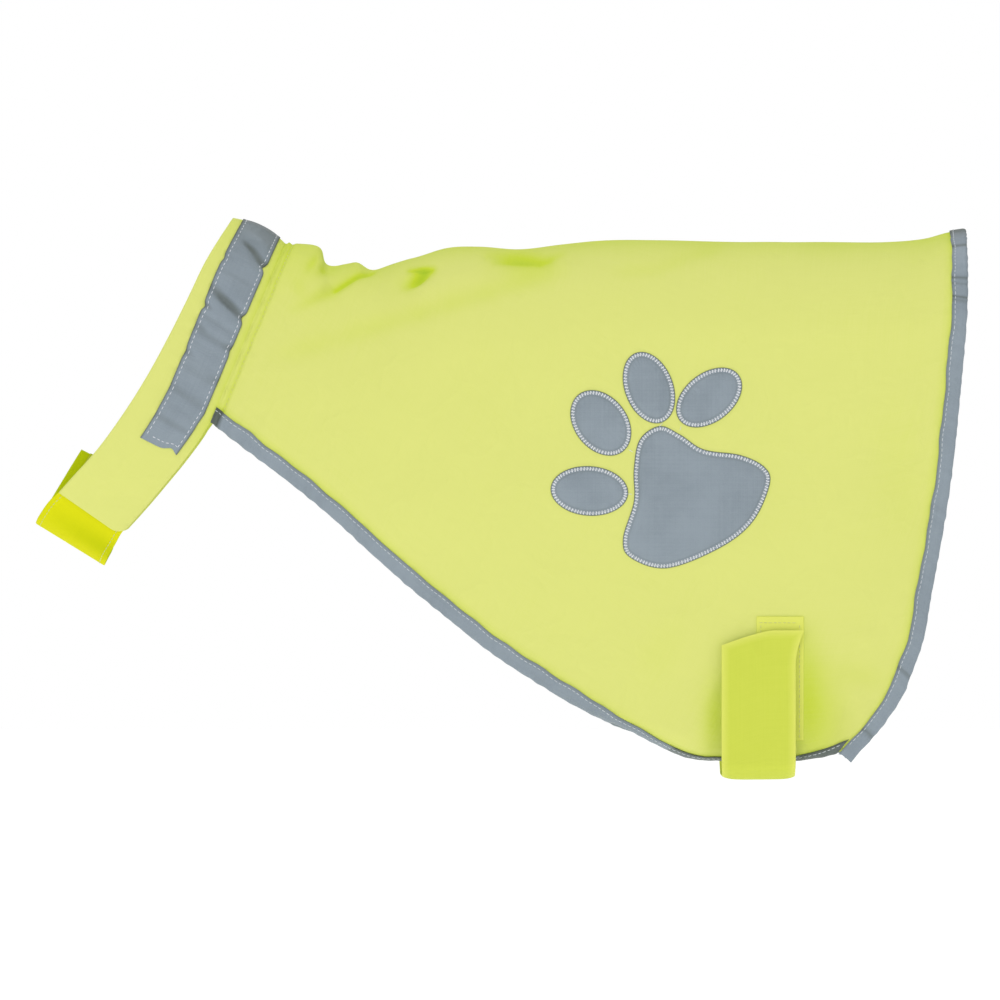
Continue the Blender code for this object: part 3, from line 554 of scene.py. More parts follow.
def cloth_piece(name, outer, inner, material, shade=None):
    """A closed wall of cloth between two grids of points, with a UV map in metres on both faces
    and, as the attribute shade, how much painted shade deepens its colour at each point."""
    rows, columns = outer.shape[:2]
    count = rows * columns
    rim = np.concatenate([
        np.arange(rows) * columns,
        (rows - 1) * columns + np.arange(1, columns),
        np.arange(rows - 2, -1, -1) * columns + columns - 1,
        np.arange(columns - 2, 0, -1),
    ])
    after = np.roll(rim, -1)
    quads = np.concatenate([
        grid_quads(rows, columns, 0, False),
        grid_quads(rows, columns, count, True),
        np.column_stack([after, rim, rim + count, after + count]),
    ])
    along = lengths(outer)
    across = lengths(outer.transpose(1, 0, 2)).T
    places = np.tile(np.stack([along, across], axis=-1).reshape(-1, 2), (2, 1))
    points = np.concatenate([outer.reshape(-1, 3), inner.reshape(-1, 3)])
    shades = None if shade is None else np.tile(shade.ravel(), 2)
    return mesh_piece(name, points, quads, material, places, shades)


def mesh_piece(name, points, faces, material, places=None, shades=None):
    """A piece of the vest from points and faces, riding on its one body."""
    mesh = bpy.data.meshes.new(name)
    mesh.from_pydata(points.tolist(), [], faces.tolist() if hasattr(faces, "tolist") else faces)
    mesh.shade_smooth()
    mesh.set_sharp_from_angle(angle=math.radians(55))
    if places is not None:
        layer = mesh.uv_layers.new(name="cloth")
        loops = np.empty(len(mesh.loops), np.int32)
        mesh.loops.foreach_get("vertex_index", loops)
        layer.data.foreach_set("uv", places[loops].astype(np.float32).ravel())
    if shades is not None:
        layer = mesh.attributes.new("shade", "FLOAT", "POINT")
        layer.data.foreach_set("value", shades.astype(np.float32))
    mesh.materials.append(material)
    made = bpy.data.objects.new(name, mesh)
    bpy.context.collection.objects.link(made)
    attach(made, "root")
    return made


def shader_group(name, inputs, outputs):
    """An empty node group, with its inputs' outputs and its outputs' inputs to link to."""
    tree = bpy.data.node_groups.new(name, "ShaderNodeTree")
    for socket, kind in inputs.items():
        tree.interface.new_socket(socket, in_out="INPUT", socket_type=kind)
    for socket, kind in outputs.items():
        tree.interface.new_socket(socket, in_out="OUTPUT", socket_type=kind)
    return tree, tree.nodes.new("NodeGroupInput").outputs, tree.nodes.new("NodeGroupOutput").inputs


def calc(tree, operation, *values):
    return add_node(tree, "ShaderNodeMath", dict(enumerate(values)), operation=operation).outputs[0]


def cloudy(tree, place, scale, detail):
    """Soft patches from 0 to 1 in space."""
    sockets = {"Vector": place, "Scale": scale, "Detail": detail}
    return add_node(tree, "ShaderNodeTexNoise", sockets).outputs["Fac"]


def blend(tree, amount, first, second):
    """A colour between two others. The colours of a Mix node share their names with its numbers,
    so they go by their place."""
    sockets = {"Factor": amount, 6: first, 7: second}
    return add_node(tree, "ShaderNodeMix", sockets, data_type="RGBA").outputs[2]


def raised(tree, height, distance, strength=1.0, under=None):
    """A normal bent by a height over the surface, or over another normal under it."""
    sockets = {"Height": height, "Distance": distance, "Strength": strength}
    if under is not None:
        sockets["Normal"] = under
    return add_node(tree, "ShaderNodeBump", sockets).outputs[0]


CROSSING_RISE = 0.25
STREAK_STRETCH = 0.012
STREAK_SCALE = 0.55


def weave_group():
    """A plain weave on a UV map in metres: the height of its threads, and streaks along both ways
    where one thread is thicker than the next."""
    tree, given, made = shader_group(
        "plain_weave",
        {"UV": "NodeSocketVector", "Threads": "NodeSocketFloat"},
        {"Height": "NodeSocketFloat", "Streak": "NodeSocketFloat"},
    )
    scaled = add_node(
        tree, "ShaderNodeVectorMath", {0: given["UV"], "Scale": given["Threads"]}, operation="SCALE"
    )
    parts = add_node(tree, "ShaderNodeSeparateXYZ", {0: scaled.outputs[0]})
    warp = calc(tree, "SINE", calc(tree, "MULTIPLY", parts.outputs["X"], math.pi))
    weft = calc(tree, "SINE", calc(tree, "MULTIPLY", parts.outputs["Y"], math.pi))
    crossing = calc(tree, "MULTIPLY", warp, weft)
    height = calc(tree, "MULTIPLY_ADD", crossing, CROSSING_RISE, calc(tree, "ABSOLUTE", crossing))
    tree.links.new(height, made["Height"])
    streaks = []
    for stretch in ((1.0, STREAK_STRETCH, 1.0), (STREAK_STRETCH, 1.0, 1.0)):
        mapped = add_node(tree, "ShaderNodeMapping", {"Vector": scaled.outputs[0], "Scale": stretch})
        noise = add_node(
            tree, "ShaderNodeTexNoise",
            {"Vector": mapped.outputs[0], "Scale": STREAK_SCALE, "Detail": 1.0},
            noise_dimensions="2D",
        )
        streaks.append(noise.outputs["Fac"])
    total = calc(tree, "ADD", streaks[0], streaks[1])
    tree.links.new(calc(tree, "SUBTRACT", total, 1.0), made["Streak"])
    return tree


def rumple_group():
    """Small wrinkles of light cloth, finer than the modelled creases, from the Object coordinates."""
    tree, given, made = shader_group(
        "rumple",
        {"Vector": "NodeSocketVector", "Size": "NodeSocketFloat"},
        {"Height": "NodeSocketFloat"},
    )
    fine = calc(tree, "DIVIDE", 1.0, given["Size"])
    wide = add_node(
        tree, "ShaderNodeTexNoise",
        {"Vector": given["Vector"], "Scale": fine, "Detail": 2.0, "Distortion": 0.6},
    )
    ridge = calc(tree, "ABSOLUTE", calc(tree, "SUBTRACT", wide.outputs["Fac"], 0.5))
    tree.links.new(calc(tree, "MULTIPLY", ridge, -2.0), made["Height"])
    return tree


weave = weave_group()
rumple = rumple_group()

LIME = (0.642, 0.628, 0.207, 1)
# The lime cloth's colour under painted shade, and under the painted shadow inside its folds.
LIME_SHADED = (0.500, 0.570, 0.030, 1)
LIME_FOLD_SHADOW = (0.280, 0.420, 0.010, 1)
# A painted glow that the lime cloth and the hook tape give off though they are no lamp, standing in for
# the fluorescence of the dye.
LIME_GLOW = (0.500, 0.800, 0.010, 1)
CLOTH_THREADS = 2400
WEAVE_HEIGHT = 0.00012
WEAVE_STRENGTH = 0.6
RUMPLE_SIZE = 0.030
RUMPLE_HEIGHT = 0.0012
PATCH_SCALE = 14.0
PATCH_DEPTH = 0.10
STREAK_DEPTH = 0.12


def lime_material(name, colour, shaded_colour, glow, rumpled, gloss):
    """Fluorescent woven cloth. Painted shade deepens its colour as its shade goes to 1, where
    other cloth is close, and a painted shadow darkens it from there to 2, inside the folds."""
    material, tree, sockets = new_surface(
        name, Roughness=0.72, Specular_IOR_Level=gloss, Sheen_Weight=gloss / 3, Sheen_Roughness=0.45,
        Emission_Color=LIME_GLOW, Emission_Strength=glow,
    )
    uv = add_node(tree, "ShaderNodeUVMap", uv_map="cloth").outputs[0]
    place = add_node(tree, "ShaderNodeTexCoord").outputs["Object"]
    woven = add_node(tree, "ShaderNodeGroup", {"UV": uv, "Threads": CLOTH_THREADS}, node_tree=weave)
    folds = add_node(
        tree, "ShaderNodeGroup", {"Vector": place, "Size": RUMPLE_SIZE}, node_tree=rumple
    )
    shade = add_node(tree, "ShaderNodeAttribute", attribute_name="shade").outputs["Fac"]
    patches = calc(tree, "SUBTRACT", cloudy(tree, place, PATCH_SCALE, 3.0), 0.5)
    patchy = calc(tree, "MULTIPLY_ADD", patches, PATCH_DEPTH, shade)
    amount = calc(tree, "MULTIPLY_ADD", woven.outputs["Streak"], STREAK_DEPTH, patchy)
    # Painted shade: the colour deepens as the shade attribute goes to 1 and darkens past it, inside the
    # folds; the patches and streaks move it a little too.
    shade_mixed = blend(tree, amount, colour, shaded_colour)
    fold_shadowed = blend(tree, calc(tree, "SUBTRACT", amount, 1.0), shade_mixed, LIME_FOLD_SHADOW)
    tree.links.new(fold_shadowed, sockets["Base Color"])
    rumples = raised(tree, folds.outputs["Height"], RUMPLE_HEIGHT * rumpled)
    threads = raised(tree, woven.outputs["Height"], WEAVE_HEIGHT, WEAVE_STRENGTH, rumples)
    tree.links.new(threads, sockets["Normal"])
    return material


lime_cloth = lime_material("lime_cloth", LIME, LIME_SHADED, glow=0.16, rumpled=0.7, gloss=0.18)

cape, cape_shade = cape_grid()
cape_normals = normals(cape)
cape_under = cape - cape_normals * CAPE_CLOTH
spine_row = cape.shape[1] // 2
cape_piece = cloth_piece("cape_panel", cape, cape_under, lime_cloth, cape_shade)
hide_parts("cape")

# ---- Bound edges -------------------------------------------------------------------------------
# Blue-grey reflective tape folded over every raw edge of the cape: one length along each lower
# front edge and one round the rear hem. A single running stitch near its inner edge holds it.

TAPE = 0.0005
TAPE_GAP = 0.0003
FOLD_STEPS = 5
TIP_REACH = 0.0076
TIP_TRIM = 0.0062
TAPE_CLOSER = 3
INNER_EDGE_WAVE = 0.00022
INNER_EDGE_SPACING = 0.0300
TAPE_PUCKER = 0.00016
TAPE_PUCKER_SPACING = 0.0080
GREY = (0.264, 0.314, 0.357, 1)
GREY_DARK = (0.182, 0.222, 0.256, 1)
# The tape's colour under painted shade, and at its raw cut edges.
GREY_EDGE_AND_SHADE = (0.070, 0.085, 0.060, 1)
BEADS = 5200
BEAD_HEIGHT = 0.00004
GLINT_DEPTH = 0.30
TAPE_THREADS = 2100
BACKING_HEIGHT = 0.00006
BACKING_DEPTH = 0.25
GRAIN_STRENGTH = 0.5
TAPE_RUMPLE_SIZE = 0.012
TAPE_RUMPLE_HEIGHT = 0.0004
RUBBED_SCALE = 38.0

# Small tucks across the rear tape on either side, by their height.
Tuck = namedtuple("Tuck", "side z depth width")
REAR_TUCKS = [
    Tuck(NEAR, -0.0022, -0.0008, 0.0009),
    Tuck(NEAR, -0.0222, -0.0008, 0.0008),
    Tuck(NEAR, -0.0258, -0.0004, 0.0008),
    Tuck(NEAR, -0.0338, -0.0008, 0.0008),
    Tuck(NEAR, -0.0362, -0.0005, 0.0008),
    Tuck(NEAR, -0.2600, -0.0006, 0.0012),
    Tuck(NEAR, -0.2960, -0.0006, 0.0012),
    Tuck(FAR, -0.0060, -0.0008, 0.0009),
    Tuck(FAR, -0.0190, -0.0007, 0.0008),
    Tuck(FAR, -0.0400, -0.0008, 0.0009),
    Tuck(FAR, -0.2300, -0.0006, 0.0012),
    Tuck(FAR, -0.2850, -0.0006, 0.0012),
]
TUCK_SHADE = 700
DEEPEST_TUCK = 0.7
TOP_SHADE = 0.80
TOP_SHADE_WIDTH = 0.0160
CUT_SHADE = 0.45
CUT_SHADE_START = 0.86

# Stretches of the lower front tape that turn in under the strap or the neck band, where painted shade
# darkens them.
Stretch = namedtuple("Stretch", "side front_x rear_x strength")
DARK_STRETCHES = [
    Stretch(NEAR, -0.2400, -0.2285, 0.85),
    Stretch(NEAR, 0.0390, 0.0740, 0.60),
    Stretch(NEAR, 0.1140, 0.1500, 0.75),
    Stretch(FAR, -0.2400, -0.2285, 0.80),
    Stretch(FAR, 0.1140, 0.1500, 0.60),
]
DARK_FADE = 0.0030


def bead_group():
    """Glass beads too small to see singly: a fine grain, and cells that catch the light more."""
    tree, given, made = shader_group(
        "glass_beads",
        {"Vector": "NodeSocketVector", "Beads": "NodeSocketFloat"},
        {"Height": "NodeSocketFloat", "Glint": "NodeSocketFloat"},
    )
    cells = add_node(
        tree, "ShaderNodeTexVoronoi", {"Vector": given["Vector"], "Scale": given["Beads"]}
    )
    tree.links.new(calc(tree, "SUBTRACT", 1.0, cells.outputs["Distance"]), made["Height"])
    shade = add_node(tree, "ShaderNodeSeparateColor", {0: cells.outputs["Color"]}).outputs[0]
    tree.links.new(calc(tree, "SUBTRACT", shade, 0.5), made["Glint"])
    return tree


glass_beads = bead_group()


def reflective_material():
    """Reflective tape: fine beads over a woven backing, which shows faintly through the film."""
    material, tree, sockets = new_surface(
        "grey_reflective", Metallic=0.25, Specular_IOR_Level=0.35, Sheen_Weight=0.10,
    )
    uv = add_node(tree, "ShaderNodeUVMap", uv_map="cloth").outputs[0]
    place = add_node(tree, "ShaderNodeTexCoord").outputs["Object"]
    beads = add_node(tree, "ShaderNodeGroup", {"Vector": place, "Beads": BEADS}, node_tree=glass_beads)
    woven = add_node(tree, "ShaderNodeGroup", {"UV": uv, "Threads": TAPE_THREADS}, node_tree=weave)
    folds = add_node(
        tree, "ShaderNodeGroup", {"Vector": place, "Size": TAPE_RUMPLE_SIZE}, node_tree=rumple
    )
    rubbed = cloudy(tree, place, RUBBED_SCALE, 4.0)
    shade = calc(tree, "MULTIPLY_ADD", beads.outputs["Glint"], GLINT_DEPTH, rubbed)
    shade = calc(tree, "MULTIPLY_ADD", woven.outputs["Streak"], BACKING_DEPTH, shade)
    amount = add_node(
        tree, "ShaderNodeMapRange", {"Value": shade, "From Min": 0.35, "From Max": 1.15}
    ).outputs[0]
    # The shade attribute takes the tape towards that dark colour: painted shade in its tucks, where it
    # turns in under other cloth, at the spine, in the strip's troughs and just inside the paw's zigzag,
    # and at its cut edges partly painted shade and partly the raw edge.
    edge = add_node(tree, "ShaderNodeAttribute", attribute_name="shade").outputs["Fac"]
    edged_and_shaded = blend(tree, edge, blend(tree, amount, GREY, GREY_DARK), GREY_EDGE_AND_SHADE)
    tree.links.new(edged_and_shaded, sockets["Base Color"])
    rough = add_node(
        tree, "ShaderNodeMapRange", {"Value": rubbed, "To Min": 0.46, "To Max": 0.64}
    )
    tree.links.new(rough.outputs[0], sockets["Roughness"])
    creased = raised(tree, folds.outputs["Height"], TAPE_RUMPLE_HEIGHT)
    threads = raised(tree, woven.outputs["Height"], BACKING_HEIGHT, GRAIN_STRENGTH, creased)
    grain = raised(tree, beads.outputs["Height"], BEAD_HEIGHT, GRAIN_STRENGTH, threads)
    tree.links.new(grain, sockets["Normal"])
    return material


PLIES = 1900.0
PLY_SHADE = 0.72
PLY_HEIGHT = 0.00012


def thread_material(name, colour):
    """Spun polyester thread: two plies that twist round each other, and a soft shine."""
    material, tree, sockets = new_surface(name, Roughness=0.55, Sheen_Weight=0.3)
    place = add_node(tree, "ShaderNodeTexCoord").outputs["Object"]
    plies = cloudy(tree, place, PLIES, 1.0)
    # Painted shade between the plies: the noise takes the colour down in patches.
    ply_shaded = tuple(part * PLY_SHADE for part in colour[:3]) + (1,)
    tree.links.new(blend(tree, plies, colour, ply_shaded), sockets["Base Color"])
    tree.links.new(raised(tree, plies, PLY_HEIGHT), sockets["Normal"])
    return material


reflective = reflective_material()
pale_thread = thread_material("pale_thread", (0.640, 0.690, 0.730, 1))
white_thread = thread_material("white_thread", (0.860, 0.880, 0.920, 1))
lime_thread = thread_material("lime_thread", (0.720, 0.740, 0.240, 1))

# One stitch, lying along X in a box of side 1. Every seam is made of copies of it.
bpy.ops.mesh.primitive_uv_sphere_add(segments=6, ring_count=5, radius=0.5, rotation=(0, math.pi / 2, 0))
bpy.ops.object.transform_apply(rotation=True)
stitch = bpy.context.object
STITCH_POINTS = np.array([point.co for point in stitch.data.vertices])
STITCH_FACES = [tuple(face.vertices) for face in stitch.data.polygons]
bpy.data.objects.remove(stitch, do_unlink=True)
STITCH_RISE = 0.30
STITCH_SAG = 0.55
STITCH_PITCH = 0.0031
STITCH_SHARE = 0.80
STITCH_STRAY = 0.08
THREAD = 0.00050


def stitches_piece(name, starts, ends, ups, width, material):
    """Stitches from starts to ends as one mesh. Their ends dip into the cloth."""
    starts, ends, ups = (np.asarray(values) for values in (starts, ends, ups))
    along = ends - starts
    side = unit(np.cross(ups, along))
    up = unit(np.cross(along, side))
    x, y, z = (STITCH_POINTS[None, :, axis, None] for axis in range(3))
    rise = z + STITCH_RISE - STITCH_SAG * (2 * x) ** 2
    middle = ((starts + ends) / 2)[:, None]
    points = middle + x * along[:, None] + (y * side[:, None] + rise * up[:, None]) * width
    count = len(STITCH_POINTS)
    faces = [
        tuple(corner + i * count for corner in face)
        for i in range(len(starts)) for face in STITCH_FACES
    ]
    return mesh_piece(name, points.reshape(-1, 3), faces, material)


def running_stitch(line, ups, seed, pitch=STITCH_PITCH, share=STITCH_SHARE):
    """Starts, ends and ups of the stitches along a line of points, a little uneven."""
    random = np.random.default_rng(seed)
    along = lengths(line)
    count = max(int(along[-1] / pitch), 1)
    stray = random.uniform(-STITCH_STRAY, STITCH_STRAY, count + 1)
    marks = np.clip((np.arange(count + 1) + stray) * along[-1] / (count + 1), 0, along[-1])
    first = marks[:-1]
    last = first + np.diff(marks) * share
    return points_at(first, along, line), points_at(last, along, line), unit(points_at(first, along, ups))


def sewn(name, runs, material, width=THREAD):
    """Several runs of stitches as one piece."""
    starts, ends, ups = (np.concatenate(parts) for parts in zip(*runs))
    return stitches_piece(name, starts, ends, ups, width, material)


def sewn_lines(name, grid, ups, lines, seed, material, width=THREAD, **spacing):
    """Running stitches along the given lines of a grid, as one piece."""
    runs = [running_stitch(grid[line], ups[line], seed + i, **spacing) for i, line in enumerate(lines)]
    return sewn(name, runs, material, width)


def folded_tape(face, back, reach, edge_reach):
    """A tape's surface folded over an edge: along the face, round the edge, along the back. The
    first row of face and back is the edge itself, and reach is its distance from the cloth."""
    lift = unit(face - back)
    out = unit(face[0] - face[1])
    middle = (face[0] + back[0]) / 2
    half = np.linalg.norm(face[0] - back[0], axis=-1, keepdims=True) / 2 + reach
    turns = np.linspace(0, math.pi, FOLD_STEPS + 2)[1:-1]
    rounds = [
        middle + lift[0] * half * math.cos(turn) + out * edge_reach * math.sin(turn)
        for turn in turns
    ]
    return np.concatenate([(face + lift * reach)[::-1], rounds, back - lift * reach])


def closer(grid):
    """The same surface with more columns along it, for tucks narrower than the cape's cells."""
    last = grid.shape[1] - 1
    places = np.linspace(0, last, last * TAPE_CLOSER + 1)
    before = np.minimum(places.astype(int), last - 1)
    share = (places - before)[:, None]
    return grid[:, before] * (1 - share) + grid[:, before + 1] * share


def square_ends(grid):
    """The rows of a tape shortened at both ends, more the further they lie from the edge, so that
    its ends are cut square across it."""
    rows = []
    for line, trim in zip(grid, np.linspace(0, TIP_TRIM, len(grid))):
        along = lengths(line)
        wanted = trim + along * (1 - 2 * trim / along[-1])
        rows.append(points_at(wanted, along, line))
    return np.array(rows)


def bind_edge(name, node, face, back, seed, shade, flipped=False, tucks=(), tips=False):
    """The tape over one edge, with its stitches. A shade for each point along it
    darkens it."""
    if tips:
        face, back = square_ends(face), square_ends(back)
    along = lengths(face[0])
    inward = unit(face[-1] - face[0])
    share = np.linspace(0, 1, len(face))[:, None, None]
    wander = INNER_EDGE_WAVE * uneven_wave(along, INNER_EDGE_SPACING, seed)
    face = face + inward * wander[:, None] * share
    depth = TAPE_PUCKER * uneven_wave(along, TAPE_PUCKER_SPACING, seed + 1)
    for tuck in tucks:
        dip = tuck.depth * bell(face[0, :, 2] - tuck.z, tuck.width) * (face[0, :, 1] * tuck.side > 0)
        depth = depth + dip
        shade = shade - dip * TUCK_SHADE
    inner = folded_tape(face, back, TAPE_GAP, EDGE_REACH - TAPE)
    outer = folded_tape(face, back, TAPE_GAP + TAPE, EDGE_REACH)
    lift = unit(outer - inner) * np.maximum(depth, -TAPE_GAP * DEEPEST_TUCK)[None, :, None]
    outer = outer + lift
    inner = inner + lift
    line = outer[1]
    ups = unit(outer[1] - inner[1])
    if tips:
        outer, inner = (
            np.concatenate([
                grid[:, :1] + unit(grid[:, :1] - grid[:, 1:2]) * TIP_REACH,
                grid,
                grid[:, -1:] + unit(grid[:, -1:] - grid[:, -2:-1]) * TIP_REACH,
            ], axis=1)
            for grid in (outer, inner)
        )
        shade = np.concatenate([shade[:1], shade, shade[-1:]])
    order = slice(None, None, -1) if flipped else slice(None)
    rows = np.linspace(-1, 1, len(outer))[:, None]
    cut_edges = CUT_SHADE * np.clip((np.abs(rows) - CUT_SHADE_START) / (1 - CUT_SHADE_START), 0, 1)
    made = cloth_piece(
        name, outer[order], inner[order], reflective,
        np.clip(shade[None, :] + cut_edges, 0, 1),
    )
    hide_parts(node)
    stitches = sewn(name + "_stitches", [running_stitch(line, ups, seed + 2)], pale_thread)


def front_shade(x, side):
    """How much painted shade darkens the lower front tape along the edge, by its x."""
    total = np.zeros_like(x)
    for stretch in DARK_STRETCHES:
        if stretch.side == side:
            inside = np.minimum(x - stretch.front_x, stretch.rear_x - x)
            total += stretch.strength * np.clip(0.5 + inside / DARK_FADE, 0, 1)
    return total


FrontTape = namedtuple("FrontTape", "name node side rows seed")
FRONT_TAPES = [
    FrontTape("front_tape_near", "front_binding_near", NEAR, slice(0, BINDING_CELLS + 1), 23),
    FrontTape("front_tape_far", "front_binding_far", FAR, slice(None, -BINDING_CELLS - 2, -1), 29),
]
for tape in FRONT_TAPES:
    face, back = (
        closer(grid[:CAPE_COLUMNS - 1, tape.rows].transpose(1, 0, 2)) for grid in (cape, cape_under)
    )
    shade = front_shade(face[0, :, 0], tape.side)
    bind_edge(
        tape.name, tape.node, face, back, tape.seed, shade, flipped=tape.side == FAR
    )
face, back = (closer(grid[::-1][:BINDING_CELLS + 1]) for grid in (cape, cape_under))
shade = TOP_SHADE * bell(face[0, :, 1], TOP_SHADE_WIDTH)
bind_edge(
    "rear_tape", "rear_binding", face, back, 31, shade, tucks=REAR_TUCKS, tips=True
)

# ---- Neck band ---------------------------------------------------------------------------------
# A doubled band of the same cloth, folded along its front edge. The cape is sewn into it at the
# nape, and it runs on free below on both sides. Thread in the cloth's colour holds the seam down.

NECK_HALF_WIDTH_FRONT = 0.0500
NECK_HALF_WIDTH_REAR = 0.0550
SEAM_TUCK = 0.0006
BAND_CLOTH = 0.0015
BAND_FREE = 93
BAND_END = 144
BAND_STEP = 1.5
BAND_ROWS = 31
SOFT_EDGE = 0.0007
CORNER_SHARE = 0.84
CORNER_TURN = 4.2
CORNER_START = 120
CORNER_BLUNTNESS = 0.98
NAPE_CROWN = 0.0026
NAPE_SPREAD = 24
BAND_PUCKER = 0.00030
BAND_PUCKER_SPACING = 0.0120
BAND_PUCKER_END = 120
BAND_PUCKER_FADE = 30
SEAM_HOLD = 0.08
SEAM_STITCH_COLUMN = 8
SEAM_STITCH_INSET = 3
BAND_SEAM_SHADE = 0.45
BAND_SEAM_SHADE_WIDTH = 0.0045
BAND_SEAM_SHADE_END = 110
BAND_SEAM_SHADE_FADE = 20
BAND_NAPE_SHADE = 0.30
BAND_NAPE_SPREAD = 40

BandPlace = namedtuple("BandPlace", "fall front_x front_z rear_x rear_z")
BAND_PLACES = [
    BandPlace(0.000, -0.2208, 0.0138, -0.1890, -0.0018),
    BandPlace(0.293, -0.2373, -0.0137, -0.2013, -0.0316),
    BandPlace(0.500, -0.2469, -0.0340, -0.2098, -0.0524),
    BandPlace(0.741, -0.2586, -0.0576, -0.2197, -0.0766),
    BandPlace(1.000, -0.2723, -0.0827, -0.2341, -0.1096),
    BandPlace(1.259, -0.2875, -0.1065, -0.2459, -0.1278),
    BandPlace(1.500, -0.3033, -0.1277, -0.2624, -0.1484),
    BandPlace(1.669, -0.3158, -0.1414, -0.2744, -0.1626),
    BandPlace(1.809, -0.3252, -0.1518, -0.2880, -0.1776),
]

# Creases that cross the band and the strip sewn on it, in the same terms as the cape's.
BAND_CREASES = [
    Crease(NEAR, -0.2148, 0.0016, -0.2004, -0.0168, 0.0028, -0.0019, 0.55),
    Crease(NEAR, -0.2094, 0.0040, -0.1980, -0.0100, 0.0034, 0.0010, 0.30),
    Crease(NEAR, -0.2178, -0.0072, -0.2060, -0.0200, 0.0040, 0.0008, 0.20),
    Crease(NEAR, -0.2322, -0.0288, -0.2148, -0.0468, 0.0027, -0.0017, 0.50),
    Crease(NEAR, -0.2262, -0.0250, -0.2112, -0.0396, 0.0038, 0.0008, 0.20),
    Crease(NEAR, -0.2352, -0.0372, -0.2184, -0.0522, 0.0042, 0.0008, 0.20),
    Crease(NEAR, -0.2382, -0.0372, -0.2316, -0.0426, 0.0018, -0.0011, 0.50),
    Crease(NEAR, -0.2232, -0.0090, -0.2178, -0.0132, 0.0018, -0.0009, 0.50),
    Crease(NEAR, -0.2424, -0.0486, -0.2364, -0.0540, 0.0022, -0.0006, 0.40),
    Crease(NEAR, -0.2502, -0.0648, -0.2448, -0.0684, 0.0022, -0.0006, 0.40),
    Crease(NEAR, -0.2178, -0.0660, -0.2250, -0.0636, 0.0022, -0.0007, 0.40),
    Crease(NEAR, -0.2268, -0.0860, -0.2330, -0.0830, 0.0024, -0.0005, 0.40),
    Crease(NEAR, -0.3020, -0.1500, -0.2780, -0.1560, 0.0060, -0.0006, 0.20),
    Crease(FAR, -0.2190, -0.0030, -0.2040, -0.0200, 0.0028, -0.0017, 0.50),
    Crease(FAR, -0.2130, 0.0010, -0.2000, -0.0120, 0.0036, 0.0009, 0.20),
    Crease(FAR, -0.2280, -0.0220, -0.2130, -0.0340, 0.0036, 0.0008, 0.20),
    Crease(FAR, -0.2370, -0.0350, -0.2180, -0.0560, 0.0028, -0.0016, 0.50),
    Crease(FAR, -0.2440, -0.0540, -0.2370, -0.0590, 0.0022, -0.0008, 0.40),
    Crease(FAR, -0.2220, -0.0700, -0.2290, -0.0680, 0.0022, -0.0007, 0.40),
]


def neck_points(place, angles, shares):
    """Points on the neck's oval at shares of the width from the front edge. A row of the table is
    given for each row of points."""
    reach = NECK_HALF_WIDTH_FRONT + (NECK_HALF_WIDTH_REAR - NECK_HALF_WIDTH_FRONT) * shares
    front_x, front_z, rear_x, rear_z = (
        np.asarray(value)[:, None]
        for value in (place.front_x, place.front_z, place.rear_x, place.rear_z)
    )
    return np.stack([
        front_x + (rear_x - front_x) * shares,
        reach * np.sin(np.radians(angles)) + 0 * front_x,
        front_z + (rear_z - front_z) * shares + CAPE_SOLID_CLOTH,
    ], axis=-1)


def band_rims():
    """The angles of the band's stations from the near end to the far one, and its two edges. Along
    the seam the rear edge tucks a little under the cape."""
    seam = cape[0, spine_row:]
    reach = np.clip(seam[:, 1] / NECK_HALF_WIDTH_REAR, 0, 1)
    free = np.arange(BAND_FREE, BAND_END + BAND_STEP / 2, BAND_STEP)
    angles = np.concatenate([np.degrees(np.arcsin(reach)), free])
    place = on_curve(BAND_PLACES, 1 - np.cos(np.radians(angles)))
    front, rear = neck_points(place, angles[:, None], np.array([[0.0, 1.0]])).transpose(1, 0, 2)
    rear[:len(seam)] = seam - unit(front[:len(seam)] - seam) * SEAM_TUCK
    near, far = (1, NEAR, 1), (1, FAR, 1)
    front, rear = (np.concatenate([(line * near)[::-1], (line * far)[1:]]) for line in (front, rear))
    return np.concatenate([-angles[::-1], angles[1:]]), front, rear


band_angles, band_front, band_rear = band_rims()
band_width = np.linalg.norm(band_rear - band_front, axis=-1).mean()


def on_band(angles, shares):
    """Points of the band before it is creased, for angles and shares of its width as grids."""
    front, rear = (points_at(angles, band_angles, line) for line in (band_front, band_rear))
    return front + (rear - front) * shares[..., None]


def band_height(points, angles, shares):
    """How far the creases and puckers of the band move its points out."""
    near = soft_lines(points, NEAR, BAND_CREASES)
    far = soft_lines(points, FAR, BAND_CREASES)
    height = np.where(angles < 0, near, far)
    across = np.sin(math.pi * np.clip(shares, 0, 1))
    height += NAPE_CROWN * bell(angles, NAPE_SPREAD) * across
    along = lengths(points[:, points.shape[1] // 2])
    sewn_part = np.clip((BAND_PUCKER_END - np.abs(angles)) / BAND_PUCKER_FADE, 0, 1)
    waves = uneven_wave(along, BAND_PUCKER_SPACING, 37)[:, None]
    height += BAND_PUCKER * waves * sewn_part * across
    return height * np.clip((1 - shares) / SEAM_HOLD, 0, 1)


def with_close_edges(values, near):
    """Shares from 0 to 1 with more of them close to both ends, for a softly rounded edge."""
    inside = values[(values > 1.6 * near) & (values < 1 - 1.6 * near)]
    close = np.array([0.0, 0.3, 1.0]) * near
    return np.concatenate([close, inside, 1 - close[::-1]])


# How thick a rounded edge is, as a share of the cloth, at its outermost points and the next ones.
RIM_SHARE = 0.12
NEXT_SHARE = 0.70


